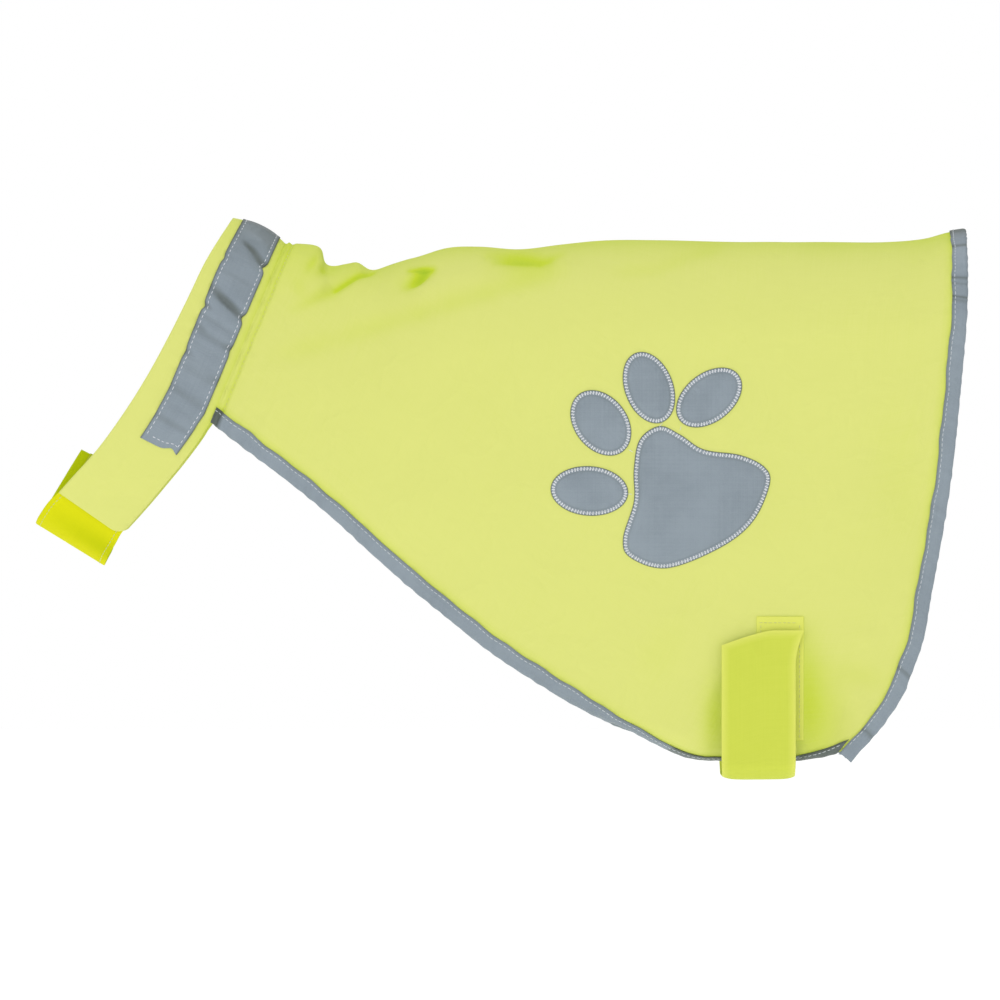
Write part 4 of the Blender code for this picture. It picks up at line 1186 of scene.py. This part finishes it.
def soft_wall(name, outer, thickness, material, shade=None):
    """A wall of cloth under a face, rounded off along its edges like a folded hem."""
    facing = normals(outer)
    half = np.full(outer.shape[:2], thickness / 2)
    for edge, share in ((0, RIM_SHARE), (1, NEXT_SHARE), (-1, RIM_SHARE), (-2, NEXT_SHARE)):
        half[edge] = np.minimum(half[edge], thickness / 2 * share)
        half[:, edge] = np.minimum(half[:, edge], thickness / 2 * share)
    middle = outer - facing * thickness / 2
    offset = facing * half[..., None]
    return cloth_piece(name, middle + offset, middle - offset, material, shade)


def band_grid():
    """The band's angles and shares: stations from the near end to the far one, and rows from the
    rear edge to the front one. The lower rear corners are cut round."""
    length = lengths(band_front)[-1]
    steps = with_close_edges(lengths(band_front) / length, SOFT_EDGE / length)
    angles = np.interp(steps * length, lengths(band_front), band_angles)
    shares = with_close_edges(np.linspace(0, 1, BAND_ROWS), SOFT_EDGE / band_width)[::-1]
    corner = np.clip((shares - CORNER_SHARE) / (1 - CORNER_SHARE), 0, 1)
    turned = CORNER_TURN * (1 - np.sqrt(1 - corner**2 * CORNER_BLUNTNESS))
    ending = np.clip((np.abs(angles) - CORNER_START) / (BAND_END - CORNER_START), 0, 1)
    grid = angles[:, None] - np.sign(angles)[:, None] * ending[:, None] * turned
    return grid, np.broadcast_to(shares, grid.shape)


angles, shares = band_grid()
band_form = on_band(angles, shares)
band = band_form + normals(band_form) * band_height(band_form, angles, shares)[..., None]
at_seam = bell((1 - shares) * band_width, BAND_SEAM_SHADE_WIDTH)
seamed = np.clip((BAND_SEAM_SHADE_END - np.abs(angles)) / BAND_SEAM_SHADE_FADE, 0, 1)
band_shade = BAND_SEAM_SHADE * at_seam * seamed + BAND_NAPE_SHADE * bell(angles, BAND_NAPE_SPREAD)
neck_band = soft_wall("neck_band", band, BAND_CLOTH, lime_cloth, band_shade)
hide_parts("collar_band")
seam_lines = [(SEAM_STITCH_COLUMN, slice(SEAM_STITCH_INSET, -SEAM_STITCH_INSET))]
seam_stitches = sewn_lines("neck_seam_stitches", cape, cape_normals, seam_lines, 41, lime_thread)

# ---- Neck strip --------------------------------------------------------------------------------
# A length of the grey reflective tape sewn flat on the band with white thread, along both edges
# and across both ends. The band's creases run through it, and draw its edges in where they end.

STRIP_GAP = 0.0004
STRIP_END = 108
STRIP_STEP = 0.00085
STRIP_COLUMNS = 34
STRIP_STITCH_COLUMN = 3
STRIP_STITCH_ROW = 4
STRIP_PITCH = 0.0034
STRIP_SHARE = 0.70
STRIP_THREAD = 0.00044
END_DIP = 1.5
END_DIP_PLACE = 0.80
END_DIP_WIDTH = 0.14
END_DIP_FADE = 94
STITCH_PULL = 0.00016
STITCH_PULL_PLACE = 0.0024
STITCH_PULL_WIDTH = 0.0012
STRIP_EDGE_SHADE = 0.8
STRIP_EDGE_SHADE_WIDTH = 0.0007
STRIP_TROUGH_DEPTH = 0.0022
STRIP_TROUGH_SHADE = 0.6
NAPE_SHADE = 0.50
NAPE_SHADE_SPREAD = 26

StripPlace = namedtuple("StripPlace", "fall front rear")
STRIP_PLACES = [
    StripPlace(0.0, 0.17, 0.86),
    StripPlace(0.5, 0.24, 0.87),
    StripPlace(1.3, 0.36, 0.88),
    StripPlace(1.9, 0.36, 0.88),
]

# Where a crease draws in one of the strip's edges: how high, how far, and how wide along the edge.
Notch = namedtuple("Notch", "side edge z depth width")
FRONT_EDGE = 0
REAR_EDGE = 1
NOTCHES = [
    Notch(NEAR, REAR_EDGE, -0.0166, 0.0022, 0.0020),
    Notch(NEAR, REAR_EDGE, -0.0466, 0.0019, 0.0022),
    Notch(NEAR, REAR_EDGE, -0.0660, 0.0007, 0.0024),
    Notch(NEAR, FRONT_EDGE, -0.0096, 0.0008, 0.0020),
    Notch(NEAR, FRONT_EDGE, -0.0380, 0.0014, 0.0020),
    Notch(NEAR, FRONT_EDGE, -0.0650, 0.0006, 0.0030),
    Notch(FAR, REAR_EDGE, -0.0200, 0.0018, 0.0022),
    Notch(FAR, REAR_EDGE, -0.0550, 0.0015, 0.0022),
    Notch(FAR, FRONT_EDGE, -0.0330, 0.0010, 0.0022),
]


def strip_grid():
    """The strip's angles and shares of the band's width, laid out as the band's are."""
    ends = np.interp([-STRIP_END, STRIP_END], band_angles, lengths(band_front))
    angles = np.linspace(-STRIP_END, STRIP_END, round((ends[1] - ends[0]) / STRIP_STEP))
    place = on_curve(STRIP_PLACES, 1 - np.cos(np.radians(angles)))
    edges = [place.front, place.rear]
    for notch in NOTCHES:
        z = on_band(angles, edges[notch.edge])[:, 2]
        here = np.sign(angles) == notch.side
        drawn = notch.depth / band_width * bell(z - notch.z, notch.width) * here
        edges[notch.edge] = edges[notch.edge] + (drawn if notch.edge == FRONT_EDGE else -drawn)
    across = np.linspace(1, 0, STRIP_COLUMNS)
    shares = edges[0][:, None] + (edges[1] - edges[0])[:, None] * across
    dip = END_DIP * bell(across - END_DIP_PLACE, END_DIP_WIDTH)
    ending = np.clip((np.abs(angles) - END_DIP_FADE) / (STRIP_END - END_DIP_FADE), 0, 1) ** 2
    return angles[:, None] - np.sign(angles)[:, None] * ending[:, None] * dip, shares


angles, shares = strip_grid()
strip_form = on_band(angles, shares)
height = band_height(strip_form, angles, shares)
across = strip_form.transpose(1, 0, 2)
from_edge = np.minimum(lengths(across), lengths(across[::-1])[::-1]).T
stitch_depth = STITCH_PULL * bell(from_edge - STITCH_PULL_PLACE, STITCH_PULL_WIDTH)
strip_normals = normals(strip_form)
strip_under = strip_form + strip_normals * (height + STRIP_GAP)[..., None]
strip = strip_under + strip_normals * (TAPE - stitch_depth)[..., None]
strip_shade = STRIP_EDGE_SHADE * bell(from_edge, STRIP_EDGE_SHADE_WIDTH)
strip_shade += np.clip(-height / STRIP_TROUGH_DEPTH, 0, STRIP_TROUGH_SHADE)
strip_shade += NAPE_SHADE * bell(angles, NAPE_SHADE_SPREAD)
neck_strip = cloth_piece("neck_strip", strip, strip_under, reflective, strip_shade)
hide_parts("collar_strip")
rows = slice(STRIP_STITCH_ROW, -STRIP_STITCH_ROW)
columns = slice(STRIP_STITCH_COLUMN, -STRIP_STITCH_COLUMN)
strip_lines = [
    (rows, STRIP_STITCH_COLUMN),
    (rows, -STRIP_STITCH_COLUMN - 1),
    (STRIP_STITCH_ROW, columns),
    (-STRIP_STITCH_ROW - 1, columns),
]
strip_stitches = sewn_lines(
    "neck_strip_stitches", strip, strip_normals, strip_lines, 43, white_thread, STRIP_THREAD,
    pitch=STRIP_PITCH, share=STRIP_SHARE,
)

# ---- Throat tab --------------------------------------------------------------------------------
# A doubled tab of brighter cloth, sewn under the near end of the band. It turns round the throat
# and lies on the far end, held by the stiff hook tape on its inner face.

TAB_STEP = 1.5
TAB_COLUMNS = 30
TAB_CLOTH = 0.0011
HOOK_FRONT = 0.13
HOOK_REAR = 0.86
HOOK_START = 192
HOOK_GAP = 0.0003
HOOK_TAPE = 0.0009
TAB_CUT_WIDTH = 0.045
THROAT_LIME = (0.690, 0.665, 0.008, 1)
# The tab's colour where painted shade deepens it.
THROAT_SHADED = (0.500, 0.530, 0.002, 1)
HOOK_LIME = (0.560, 0.600, 0.030, 1)
HOOK_GAP_SHADE = (0.360, 0.420, 0.012, 1)
HOOKS = 900
HOOK_SCATTER = 0.6
HOOK_HEIGHT = 0.0006
THROAT_TURN = 160
THROAT_TURN_WIDTH = 9
THROAT_TURN_FRONT = 0.2
TAIL_SHADE = 1.25
TAIL_SHADE_START = 188
TAIL_SHADE_LENGTH = 16

TabPlace = namedtuple("TabPlace", "angle front_x front_z rear_x rear_z lift")
TAB_PLACES = [
    TabPlace(128, -0.3108, -0.1370, -0.2714, -0.1572, -0.0021),
    TabPlace(144, -0.3246, -0.1512, -0.2883, -0.1772, -0.0021),
    TabPlace(152, -0.3306, -0.1566, -0.2914, -0.1830, -0.0010),
    TabPlace(164, -0.3364, -0.1644, -0.2954, -0.1896, 0.0005),
    TabPlace(180, -0.3384, -0.1683, -0.2970, -0.1938, 0.0020),
    TabPlace(196, -0.3357, -0.1644, -0.2950, -0.1896, 0.0030),
    TabPlace(206, -0.3318, -0.1580, -0.2920, -0.1835, 0.0032),
    TabPlace(216, -0.3273, -0.1504, -0.2901, -0.1762, 0.0033),
    TabPlace(228, -0.3207, -0.1389, -0.2793, -0.1601, 0.0033),
    TabPlace(240, -0.3113, -0.1236, -0.2704, -0.1443, 0.0033),
]


def hook_material():
    """Hook tape: rows of short stiff hooks that glint, with painted shade in the gaps between them and a
    faint painted glow.
    """
    material, tree, sockets = new_surface(
        "lime_hook_tape", Roughness=0.45, Specular_IOR_Level=0.45,
        Emission_Color=LIME_GLOW, Emission_Strength=0.02,
    )
    place = add_node(tree, "ShaderNodeTexCoord").outputs["Object"]
    hooks = add_node(
        tree, "ShaderNodeTexVoronoi", {"Vector": place, "Scale": HOOKS, "Randomness": HOOK_SCATTER}
    ).outputs["Distance"]
    tree.links.new(blend(tree, hooks, HOOK_LIME, HOOK_GAP_SHADE), sockets["Base Color"])
    tips = calc(tree, "SUBTRACT", 1.0, hooks)
    tree.links.new(raised(tree, tips, HOOK_HEIGHT), sockets["Normal"])
    return material


throat_cloth = lime_material(
    "lime_tape", THROAT_LIME, THROAT_SHADED, glow=0.08, rumpled=0.35, gloss=0.03
)
hook_tape = hook_material()

tab_angles = np.arange(TAB_PLACES[0].angle, TAB_PLACES[-1].angle, TAB_STEP)[::-1]
tab_shares = with_close_edges(np.linspace(0, 1, TAB_COLUMNS), SOFT_EDGE / TAB_CUT_WIDTH)[::-1]
tab_place = on_curve(TAB_PLACES, tab_angles)
tab_form = neck_points(tab_place, -tab_angles[:, None], tab_shares[None, :])
tab_normals = normals(tab_form)
tab = tab_form + tab_normals * tab_place.lift[:, None, None]
# Painted shade: the tab's colour deepens where it turns round the throat, more towards its rear edge, and
# further on its tail past the throat.
tail = np.clip((tab_angles[:, None] - TAIL_SHADE_START) / TAIL_SHADE_LENGTH, 0, 1)
towards_rear = THROAT_TURN_FRONT + (1 - THROAT_TURN_FRONT) * tab_shares
tab_shade = bell(tab_angles[:, None] - THROAT_TURN, THROAT_TURN_WIDTH) * towards_rear
tab_shade += TAIL_SHADE * tail
throat_tab = soft_wall("closing_tab", tab, TAB_CLOTH, throat_cloth, tab_shade)
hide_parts("throat_tab")
hooked = tab_angles >= HOOK_START
hook_shares = np.linspace(HOOK_REAR, HOOK_FRONT, TAB_COLUMNS)
hook_form = neck_points(
    on_curve(TAB_PLACES, tab_angles[hooked]), -tab_angles[hooked][:, None], hook_shares[None, :]
)
hook_top = tab_place.lift[hooked][:, None, None] - TAB_CLOTH - HOOK_GAP
hook_normals = normals(hook_form)
throat_hook = cloth_piece(
    "throat_hook_tape",
    hook_form + hook_normals * hook_top,
    hook_form + hook_normals * (hook_top - HOOK_TAPE),
    hook_tape,
)
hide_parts("throat_hook")
throat_lines = [(slice(3, -3), 4), (slice(3, -3), -5), (3, slice(4, -4))]
throat_stitches = sewn_lines("throat_tab_stitches", tab, tab_normals, throat_lines, 51, lime_thread)

# ---- Paw ---------------------------------------------------------------------------------------
# Five appliqués of the grey reflective tape on the near side, four toes and a pad. Each is held by
# a zigzag of white thread just inside its cut edge, and a thread jumps from each toe to the pad.

PAW_GAP = 0.0002
PAW_POINTS = 144
PAW_FILL = 14
BORDER_RINGS = (0.0, 0.0003, 0.0008, 0.0014, 0.0020, 0.0026, 0.0032, 0.0040)
PRESSED_EDGE = 0.45
PRESSED_EDGE_WIDTH = 0.0004
ZIGZAG_START = 0.0003
ZIGZAG_END = 0.0027
ZIGZAG_PITCH = 0.00190
ZIGZAG_STRAY = 0.10
ZIGZAG_THREAD = 0.00070
ZIGZAG_RETURN = 0.00022
PAW_PUFF = 0.00045
PAW_PUFF_WIDTH = 0.0045
PAW_PUCKER = 0.00010
PAW_PUCKER_SPACING = 0.035
PAW_PUCKER_PLACE = 0.0045
PAW_PUCKER_WIDTH = 0.0022
RAW_EDGE_SHADE_WIDTH = 0.0006
INNER_LINE_SHADE = 0.22
INNER_LINE_PLACE = 0.0032
INNER_LINE_WIDTH = 0.0005
JUMP_THREAD = 0.00034

Toe = namedtuple("Toe", "name centre_x centre_z half_length half_breadth tilt")
TOES = [
    Toe("toe_1", -0.0065, -0.1506, 0.0232, 0.0148, -4),
    Toe("toe_2", 0.0003, -0.1099, 0.0216, 0.0158, -52),
    Toe("toe_3", 0.0291, -0.0888, 0.0222, 0.0145, -69),
    Toe("toe_4", 0.0651, -0.0947, 0.0223, 0.0146, 38),
]
PadPoint = namedtuple("PadPoint", "x z")
PAD_CENTRE = PadPoint(0.0500, -0.1550)
PAD_OUTLINE = [
    PadPoint(0.0354, -0.1118),
    PadPoint(0.0480, -0.1170),
    PadPoint(0.0620, -0.1258),
    PadPoint(0.0840, -0.1292),
    PadPoint(0.0985, -0.1365),
    PadPoint(0.1013, -0.1470),
    PadPoint(0.0912, -0.1690),
    PadPoint(0.0715, -0.1847),
    PadPoint(0.0400, -0.1968),
    PadPoint(0.0180, -0.1905),
    PadPoint(0.0136, -0.1790),
    PadPoint(0.0200, -0.1570),
    PadPoint(0.0200, -0.1380),
    PadPoint(0.0235, -0.1200),
]

# Threads that the embroidery machine left between a toe's border and the next piece.
Jump = namedtuple("Jump", "start_x start_z end_x end_z")
JUMPS = [
    Jump(0.0163, -0.1523, 0.0190, -0.1526),
    Jump(0.0170, -0.1258, 0.0195, -0.1274),
    Jump(0.0374, -0.1097, 0.0350, -0.1124),
    Jump(0.0484, -0.1118, 0.0477, -0.1145),
]

cape_faces = BVHTree.FromPolygons(
    cape.reshape(-1, 3).tolist(), grid_quads(*cape.shape[:2], 0, False).tolist()
)


def on_cape(flat, side):
    """The cape's points and normals on one side, where it is seen at each x and z."""
    points, facing = [], []
    for x, z in flat.reshape(-1, 2):
        hit, normal, _, _ = cape_faces.ray_cast(Vector((x, side, z)), Vector((0, -side, 0)))
        points.append(hit)
        facing.append(normal if normal.y * side > 0 else -normal)
    shape = (*flat.shape[:-1], 3)
    return np.array(points).reshape(shape), np.array(facing).reshape(shape)


def toe_outline(toe):
    tilt = math.radians(toe.tilt)
    turn = np.linspace(0, 2 * math.pi, PAW_POINTS, endpoint=False)
    along = toe.half_length * np.cos(turn)
    across = toe.half_breadth * np.sin(turn)
    return np.column_stack([
        toe.centre_x + along * math.cos(tilt) - across * math.sin(tilt),
        toe.centre_z + along * math.sin(tilt) + across * math.cos(tilt) + CAPE_SOLID_CLOTH,
    ])


def pad_outline():
    """The pad's outline, smooth through its points, anticlockwise from a point on its right."""
    knots = np.array(PAD_OUTLINE)[::-1]
    count = len(knots)
    place = np.linspace(0, count, PAW_POINTS, endpoint=False)
    before = place.astype(int)
    t = (place - before)[:, None]
    a, b, c, d = (knots[(before + k) % count] for k in (-1, 0, 1, 2))
    flat = 0.5 * (
        2 * b + (c - a) * t + (2 * a - 5 * b + 4 * c - d) * t**2
        + (3 * b - a - 3 * c + d) * t**3
    )
    return flat + (0, CAPE_SOLID_CLOTH)


def moved_in(outline, distance):
    """A closed anticlockwise outline moved in by a distance."""
    along = unit(np.roll(outline, -1, axis=0) - np.roll(outline, 1, axis=0))
    return outline + np.column_stack([-along[:, 1], along[:, 0]]) * distance


def border_height(distance):
    """How high an appliqué stands over the cape at a distance from its cut edge: held down by the
    zigzag, and puffed up a little inside it."""
    edge = TAPE * (PRESSED_EDGE + (1 - PRESSED_EDGE) * np.clip(distance / PRESSED_EDGE_WIDTH, 0, 1))
    inside = np.clip((distance - ZIGZAG_END) / PAW_PUFF_WIDTH, 0, 1)
    return edge + PAW_PUFF * (3 * inside**2 - 2 * inside**3)


def disc_faces(rings):
    """Faces of a closed disc: rings from its edge in to a centre point, and the same below."""
    here = np.arange(PAW_POINTS)
    after = (here + 1) % PAW_POINTS
    centre = rings * PAW_POINTS
    last = centre - PAW_POINTS
    faces = []
    for start in range(0, last, PAW_POINTS):
        inner = start + PAW_POINTS
        faces += np.column_stack([start + here, start + after, inner + after, inner + here]).tolist()
    faces += np.column_stack([last + here, last + after, np.full(PAW_POINTS, centre)]).tolist()
    under = [[corner + centre + 1 for corner in face[::-1]] for face in faces]
    rim = np.column_stack([after, here, here + centre + 1, after + centre + 1]).tolist()
    return faces + under + rim


def applique(node, outline, centre, seed):
    """One appliqué over the cape inside an outline, as rings of points around its centre."""
    rings = [moved_in(outline, step) for step in BORDER_RINGS]
    shares = np.linspace(1, 0, PAW_FILL + 1)[1:-1]
    rings += [centre + (rings[-1] - centre) * share for share in shares]
    span = np.linalg.norm(rings[len(BORDER_RINGS) - 1] - centre, axis=-1)
    distances = [np.full(PAW_POINTS, step) for step in BORDER_RINGS]
    distances += [BORDER_RINGS[-1] + span * (1 - share) for share in shares]
    distance = np.append(np.concatenate(distances), span.min())
    flat = np.concatenate([*rings, [centre]])
    points, facing = on_cape(flat, NEAR)
    waves = uneven_wave(np.linspace(0, 1, PAW_POINTS), PAW_PUCKER_SPACING, seed)
    waves = np.append(np.tile(waves, len(rings)), 0)
    puckers = PAW_PUCKER * waves * bell(distance - PAW_PUCKER_PLACE, PAW_PUCKER_WIDTH)
    under = points + facing * PAW_GAP
    top = under + facing * (border_height(distance) + puckers)[:, None]
    # Painted shade, with the raw cut edge, takes the rim of each appliqué towards a dark colour, and a
    # line of painted shade lies just inside the zigzag where the tape puffs up.
    shade = np.clip(1 - distance / RAW_EDGE_SHADE_WIDTH, 0, 1)
    shade += INNER_LINE_SHADE * bell(distance - INNER_LINE_PLACE, INNER_LINE_WIDTH)
    made = mesh_piece(
        node + "_applique", np.concatenate([top, under]), disc_faces(len(rings)), reflective,
        np.tile(flat, (2, 1)), np.tile(shade, 2),
    )
    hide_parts(node)
    return made


def zigzag(outline, seed):
    """The strokes of a zigzag across a border, and the slanting returns between them."""
    random = np.random.default_rng(seed)
    along = lengths(np.vstack([outline, outline[:1]]))
    count = int(along[-1] / ZIGZAG_PITCH)
    marks = (np.arange(count) + random.uniform(-ZIGZAG_STRAY, ZIGZAG_STRAY, count)) * along[-1] / count
    sides = []
    for distance in (ZIGZAG_START, ZIGZAG_END):
        line = moved_in(outline, distance)
        line = np.vstack([line, line[:1]])
        points, ups = on_cape(points_at(marks, along, line), NEAR)
        sides.append(points + ups * (PAW_GAP + border_height(distance)))
    outer, inner = sides
    return (outer, inner, ups), (inner, np.roll(outer, -1, axis=0), ups)


paw_outlines = [toe_outline(toe) for toe in TOES] + [pad_outline()]
paw_nodes = [toe.name for toe in TOES] + ["paw_pad"]
paw_centres = [(toe.centre_x, toe.centre_z) for toe in TOES] + [PAD_CENTRE]
paw_pieces = [
    applique(node, outline, np.array(centre) + (0, CAPE_SOLID_CLOTH), 61 + i)
    for i, (node, outline, centre) in enumerate(zip(paw_nodes, paw_outlines, paw_centres))
]
zigzags = [zigzag(outline, 67 + i) for i, outline in enumerate(paw_outlines)]
strokes = sewn("paw_zigzag", [pair[0] for pair in zigzags], white_thread, ZIGZAG_THREAD)
returns = sewn("paw_zigzag_returns", [pair[1] for pair in zigzags], white_thread, ZIGZAG_RETURN)
jump_ends = np.array(JUMPS).reshape(-1, 2, 2) + (0, CAPE_SOLID_CLOTH)
jump_points, jump_ups = on_cape(jump_ends, NEAR)
jump_points = jump_points + jump_ups * TAPE
jumps = [(jump_points[:, 0], jump_points[:, 1], jump_ups[:, 0])]
sewn("paw_jump_threads", jumps, white_thread, JUMP_THREAD)

# ---- Belly strap -------------------------------------------------------------------------------
# A short wide strap of doubled cloth. It is sewn on the far side with a crossed square, passes
# under the belly and is pressed on a loop patch on the near side by the hook tape inside it.

STRAP_CLOTH = 0.0010
STRAP_GAP = 0.0003
STRAP_FRONT = 0.0726
STRAP_REAR = 0.1170
STRAP_CORNER = 0.1000
STRAP_TOP_FRONT = -0.2430
STRAP_TOP = -0.2340
STRAP_FLARE = 0.0052
STRAP_FLARE_END = -0.2560
STRAP_CORNER_LIFT = 0.0020
STRAP_RIM = 0.0050
STRAP_COLUMNS = 44
STRAP_DOWN_STATIONS = 60
STRAP_TURN_STATIONS = 14
STRAP_FLAT_STATIONS = 40
STRAP_UP_STATIONS = 36
STRAP_MARGIN = 0.0080
STRAP_BEND_TOP = -0.3130
STRAP_BOTTOM = -0.3237
STRAP_BEND_REACH = 0.0150
STRAP_FAR_TOP = -0.2660
STRAP_LEAN_POWER = 1.3
STRAP_LIFT_POWER = 6
STRAP_RIM_POWER = 0.7
BELLY_HOOK_SHIFT = 0.0028
BELLY_HOOK_TAPE = 0.0009
BELLY_HOOK_INSET = 4
PATCH_FRONT = 0.0936
PATCH_REAR = 0.1218
PATCH_TOP = -0.2256
PATCH_BOTTOM = -0.3000
PATCH_TAPE = 0.0008
# The strap's colour along its edges, paler there as a painted highlight, which the loop patch also takes
# all over; the next is its colour inside the edges.
STRAP_LIME = (0.700, 0.700, 0.150, 1)
STRAP_DEEP = (0.560, 0.600, 0.080, 1)
BOX_TOP = -0.2690
BOX_BOTTOM = -0.2880
BOX_INSET = 5
BOX_DIAGONAL_POINTS = 30

STRAP_CREASES = [
    Crease(NEAR, 0.0870, -0.2400, 0.1000, -0.2560, 0.0045, 0.0007, 0.30),
    Crease(NEAR, 0.0800, -0.2470, 0.0900, -0.2560, 0.0050, -0.0006, 0.20),
    Crease(NEAR, 0.0760, -0.3200, 0.1100, -0.3206, 0.0014, -0.0007, 0.80),
    Crease(NEAR, 0.0860, -0.2880, 0.0840, -0.3080, 0.0060, 0.0004, 0.20),
    Crease(NEAR, 0.1080, -0.2700, 0.1060, -0.3000, 0.0060, -0.0005, 0.20),
    Crease(FAR, 0.0820, -0.2960, 0.1080, -0.3050, 0.0060, 0.0006, 0.20),
]


def side_reach(side, low_z, high_z):
    """The cape's furthest reach from the mid-plane under the strap, between two heights."""
    x, y, z = np.moveaxis(cape, -1, 0)
    under = (x > STRAP_FRONT - STRAP_MARGIN) & (x < STRAP_REAR + STRAP_MARGIN)
    under &= (z > low_z) & (z < high_z)
    return (y * side)[under].max()


def strap_path():
    """The middle of the strap's outer face in Y and Z, from its near end under the belly to its
    far end, as one list of stations."""
    layers = PATCH_TAPE + BELLY_HOOK_TAPE + STRAP_CLOTH + 3 * STRAP_GAP
    near_y = -(side_reach(NEAR, STRAP_BEND_TOP, STRAP_TOP + CAPE_SOLID_CLOTH) + layers)
    far_y = side_reach(FAR, STRAP_BEND_TOP, STRAP_FAR_TOP + CAPE_SOLID_CLOTH) + STRAP_GAP + STRAP_CLOTH
    turn = np.linspace(0, math.pi / 2, STRAP_TURN_STATIONS)
    depth = STRAP_BEND_TOP - STRAP_BOTTOM
    heights = np.linspace(STRAP_TOP, STRAP_BEND_TOP, STRAP_DOWN_STATIONS + 1)
    down = [(near_y, z) for z in heights[:-1]]
    near_bend, far_bend = (
        [
            (y - side * STRAP_BEND_REACH * (1 - math.cos(a)), STRAP_BEND_TOP - depth * math.sin(a))
            for a in turn
        ]
        for y, side in ((near_y, NEAR), (far_y, FAR))
    )
    across = np.linspace(near_bend[-1][0], far_y - STRAP_BEND_REACH, STRAP_FLAT_STATIONS + 2)
    flat = [(y, STRAP_BOTTOM) for y in across[1:-1]]
    heights = np.linspace(STRAP_BEND_TOP, STRAP_FAR_TOP, STRAP_UP_STATIONS + 1)
    up = [(far_y, z) for z in heights[1:]]
    return np.array(down + near_bend + flat + far_bend[::-1] + up)


def strap_grid(shares):
    """The strap's outer face: stations as in its path, and columns at shares of its width."""
    path = strap_path()
    station = np.arange(len(path))[:, None]
    y, z = path[:, :1], path[:, 1:]
    x = STRAP_FRONT + (STRAP_REAR - STRAP_FRONT) * shares[None, :] + 0 * z
    going_down = station < STRAP_DOWN_STATIONS
    lean = np.clip((STRAP_CORNER - x) / (STRAP_CORNER - STRAP_FRONT), 0, None) ** STRAP_LEAN_POWER
    left = np.clip(1 - station / STRAP_DOWN_STATIONS, 0, None)
    height = z + (STRAP_TOP_FRONT - STRAP_TOP) * lean * left
    turned = np.clip((STRAP_BEND_TOP - z) / (STRAP_BEND_TOP - STRAP_BOTTOM), 0, 1)
    towards_edges = np.abs(2 * shares[None, :] - 1) ** STRAP_LIFT_POWER
    height = height + STRAP_CORNER_LIFT * turned * towards_edges
    flare = np.clip((z - STRAP_FLARE_END) / (STRAP_TOP - STRAP_FLARE_END), 0, None) ** 2
    x = x + STRAP_FLARE * flare * shares * going_down
    grid = np.stack([x, y + 0 * x, height + CAPE_SOLID_CLOTH], axis=-1)
    near = soft_lines(grid, NEAR, STRAP_CREASES)
    far = soft_lines(grid, FAR, STRAP_CREASES)
    lift = np.where(grid[..., 1] < 0, near, far) + hang_height(grid, 71)
    return grid + normals(grid) * lift[..., None]


strap_cloth = lime_material(
    "strap_cloth", STRAP_LIME, STRAP_DEEP, glow=0.12, rumpled=0.5, gloss=0.12
)
strap_width = STRAP_REAR - STRAP_FRONT
strap_shares = with_close_edges(np.linspace(0, 1, STRAP_COLUMNS), SOFT_EDGE / strap_width)
strap = strap_grid(strap_shares)
strap_normals = normals(strap)
# Painted highlight: the strap keeps its paler colour along its rounded edges and ends, where they catch
# the light, and its colour deepens inside them.
from_side = np.minimum(strap_shares, 1 - strap_shares)[None, :] * strap_width
from_end = lengths(strap)
from_end = np.minimum(from_end, from_end[-1] - from_end)
strap_shade = np.clip(np.minimum(from_side, from_end) / STRAP_RIM, 0, 1) ** STRAP_RIM_POWER
strap_piece = soft_wall("underbelly_strap", strap, STRAP_CLOTH, strap_cloth, strap_shade)
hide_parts("belly_strap")
hooked = np.arange(len(strap)) < STRAP_DOWN_STATIONS + STRAP_TURN_STATIONS - 1
covered = slice(BELLY_HOOK_INSET, -BELLY_HOOK_INSET)
hook_back = (strap - strap_normals * (STRAP_CLOTH + STRAP_GAP))[hooked, covered]
hook_face = hook_back - strap_normals[hooked, covered] * BELLY_HOOK_TAPE
sideways = np.linspace(0, 1, hooked.sum()) ** 2 * BELLY_HOOK_SHIFT
for surface in (hook_back, hook_face):
    surface[..., 0] += sideways[:, None]
belly_hook = cloth_piece("belly_hook_tape", hook_back, hook_face, hook_tape)
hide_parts("belly_hook")

patch_x = PATCH_FRONT + (PATCH_REAR - PATCH_FRONT) * with_close_edges(np.linspace(0, 1, 24), 0.02)
patch_z = PATCH_BOTTOM + (PATCH_TOP - PATCH_BOTTOM) * with_close_edges(np.linspace(0, 1, 60), 0.01)
patch_flat = np.stack(np.meshgrid(patch_x, patch_z + CAPE_SOLID_CLOTH, indexing="ij"), axis=-1)
patch_points, patch_facing = on_cape(patch_flat, NEAR)
patch = patch_points + patch_facing * (STRAP_GAP + PATCH_TAPE)
patch_piece = soft_wall("loop_patch", patch, PATCH_TAPE, strap_cloth)
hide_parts("belly_patch")
patch_lines = [(slice(3, -3), 5), (slice(3, -3), -6), (4, slice(3, -3)), (-5, slice(3, -3))]
patch_stitches = sewn_lines("loop_patch_stitches", patch, patch_facing, patch_lines, 81, lime_thread)

rows_z = strap[:, 0, 2]
boxed = (rows_z > BOX_BOTTOM) & (rows_z < BOX_TOP) & (strap[:, 0, 1] > 0)
box = strap[boxed][:, BOX_INSET:-BOX_INSET]
box_normals = strap_normals[boxed][:, BOX_INSET:-BOX_INSET]
steps = np.linspace(0, 1, BOX_DIAGONAL_POINTS)
diagonal_rows = np.rint(steps * (len(box) - 1)).astype(int)
diagonal_columns = np.rint(steps * (box.shape[1] - 1)).astype(int)
box_lines = [
    (0, slice(None)),
    (-1, slice(None)),
    (slice(None), 0),
    (slice(None), -1),
    (diagonal_rows, diagonal_columns),
    (diagonal_rows, diagonal_columns[::-1]),
]
box_stitches = sewn_lines("belly_strap_stitches", box, box_normals, box_lines, 91, lime_thread)
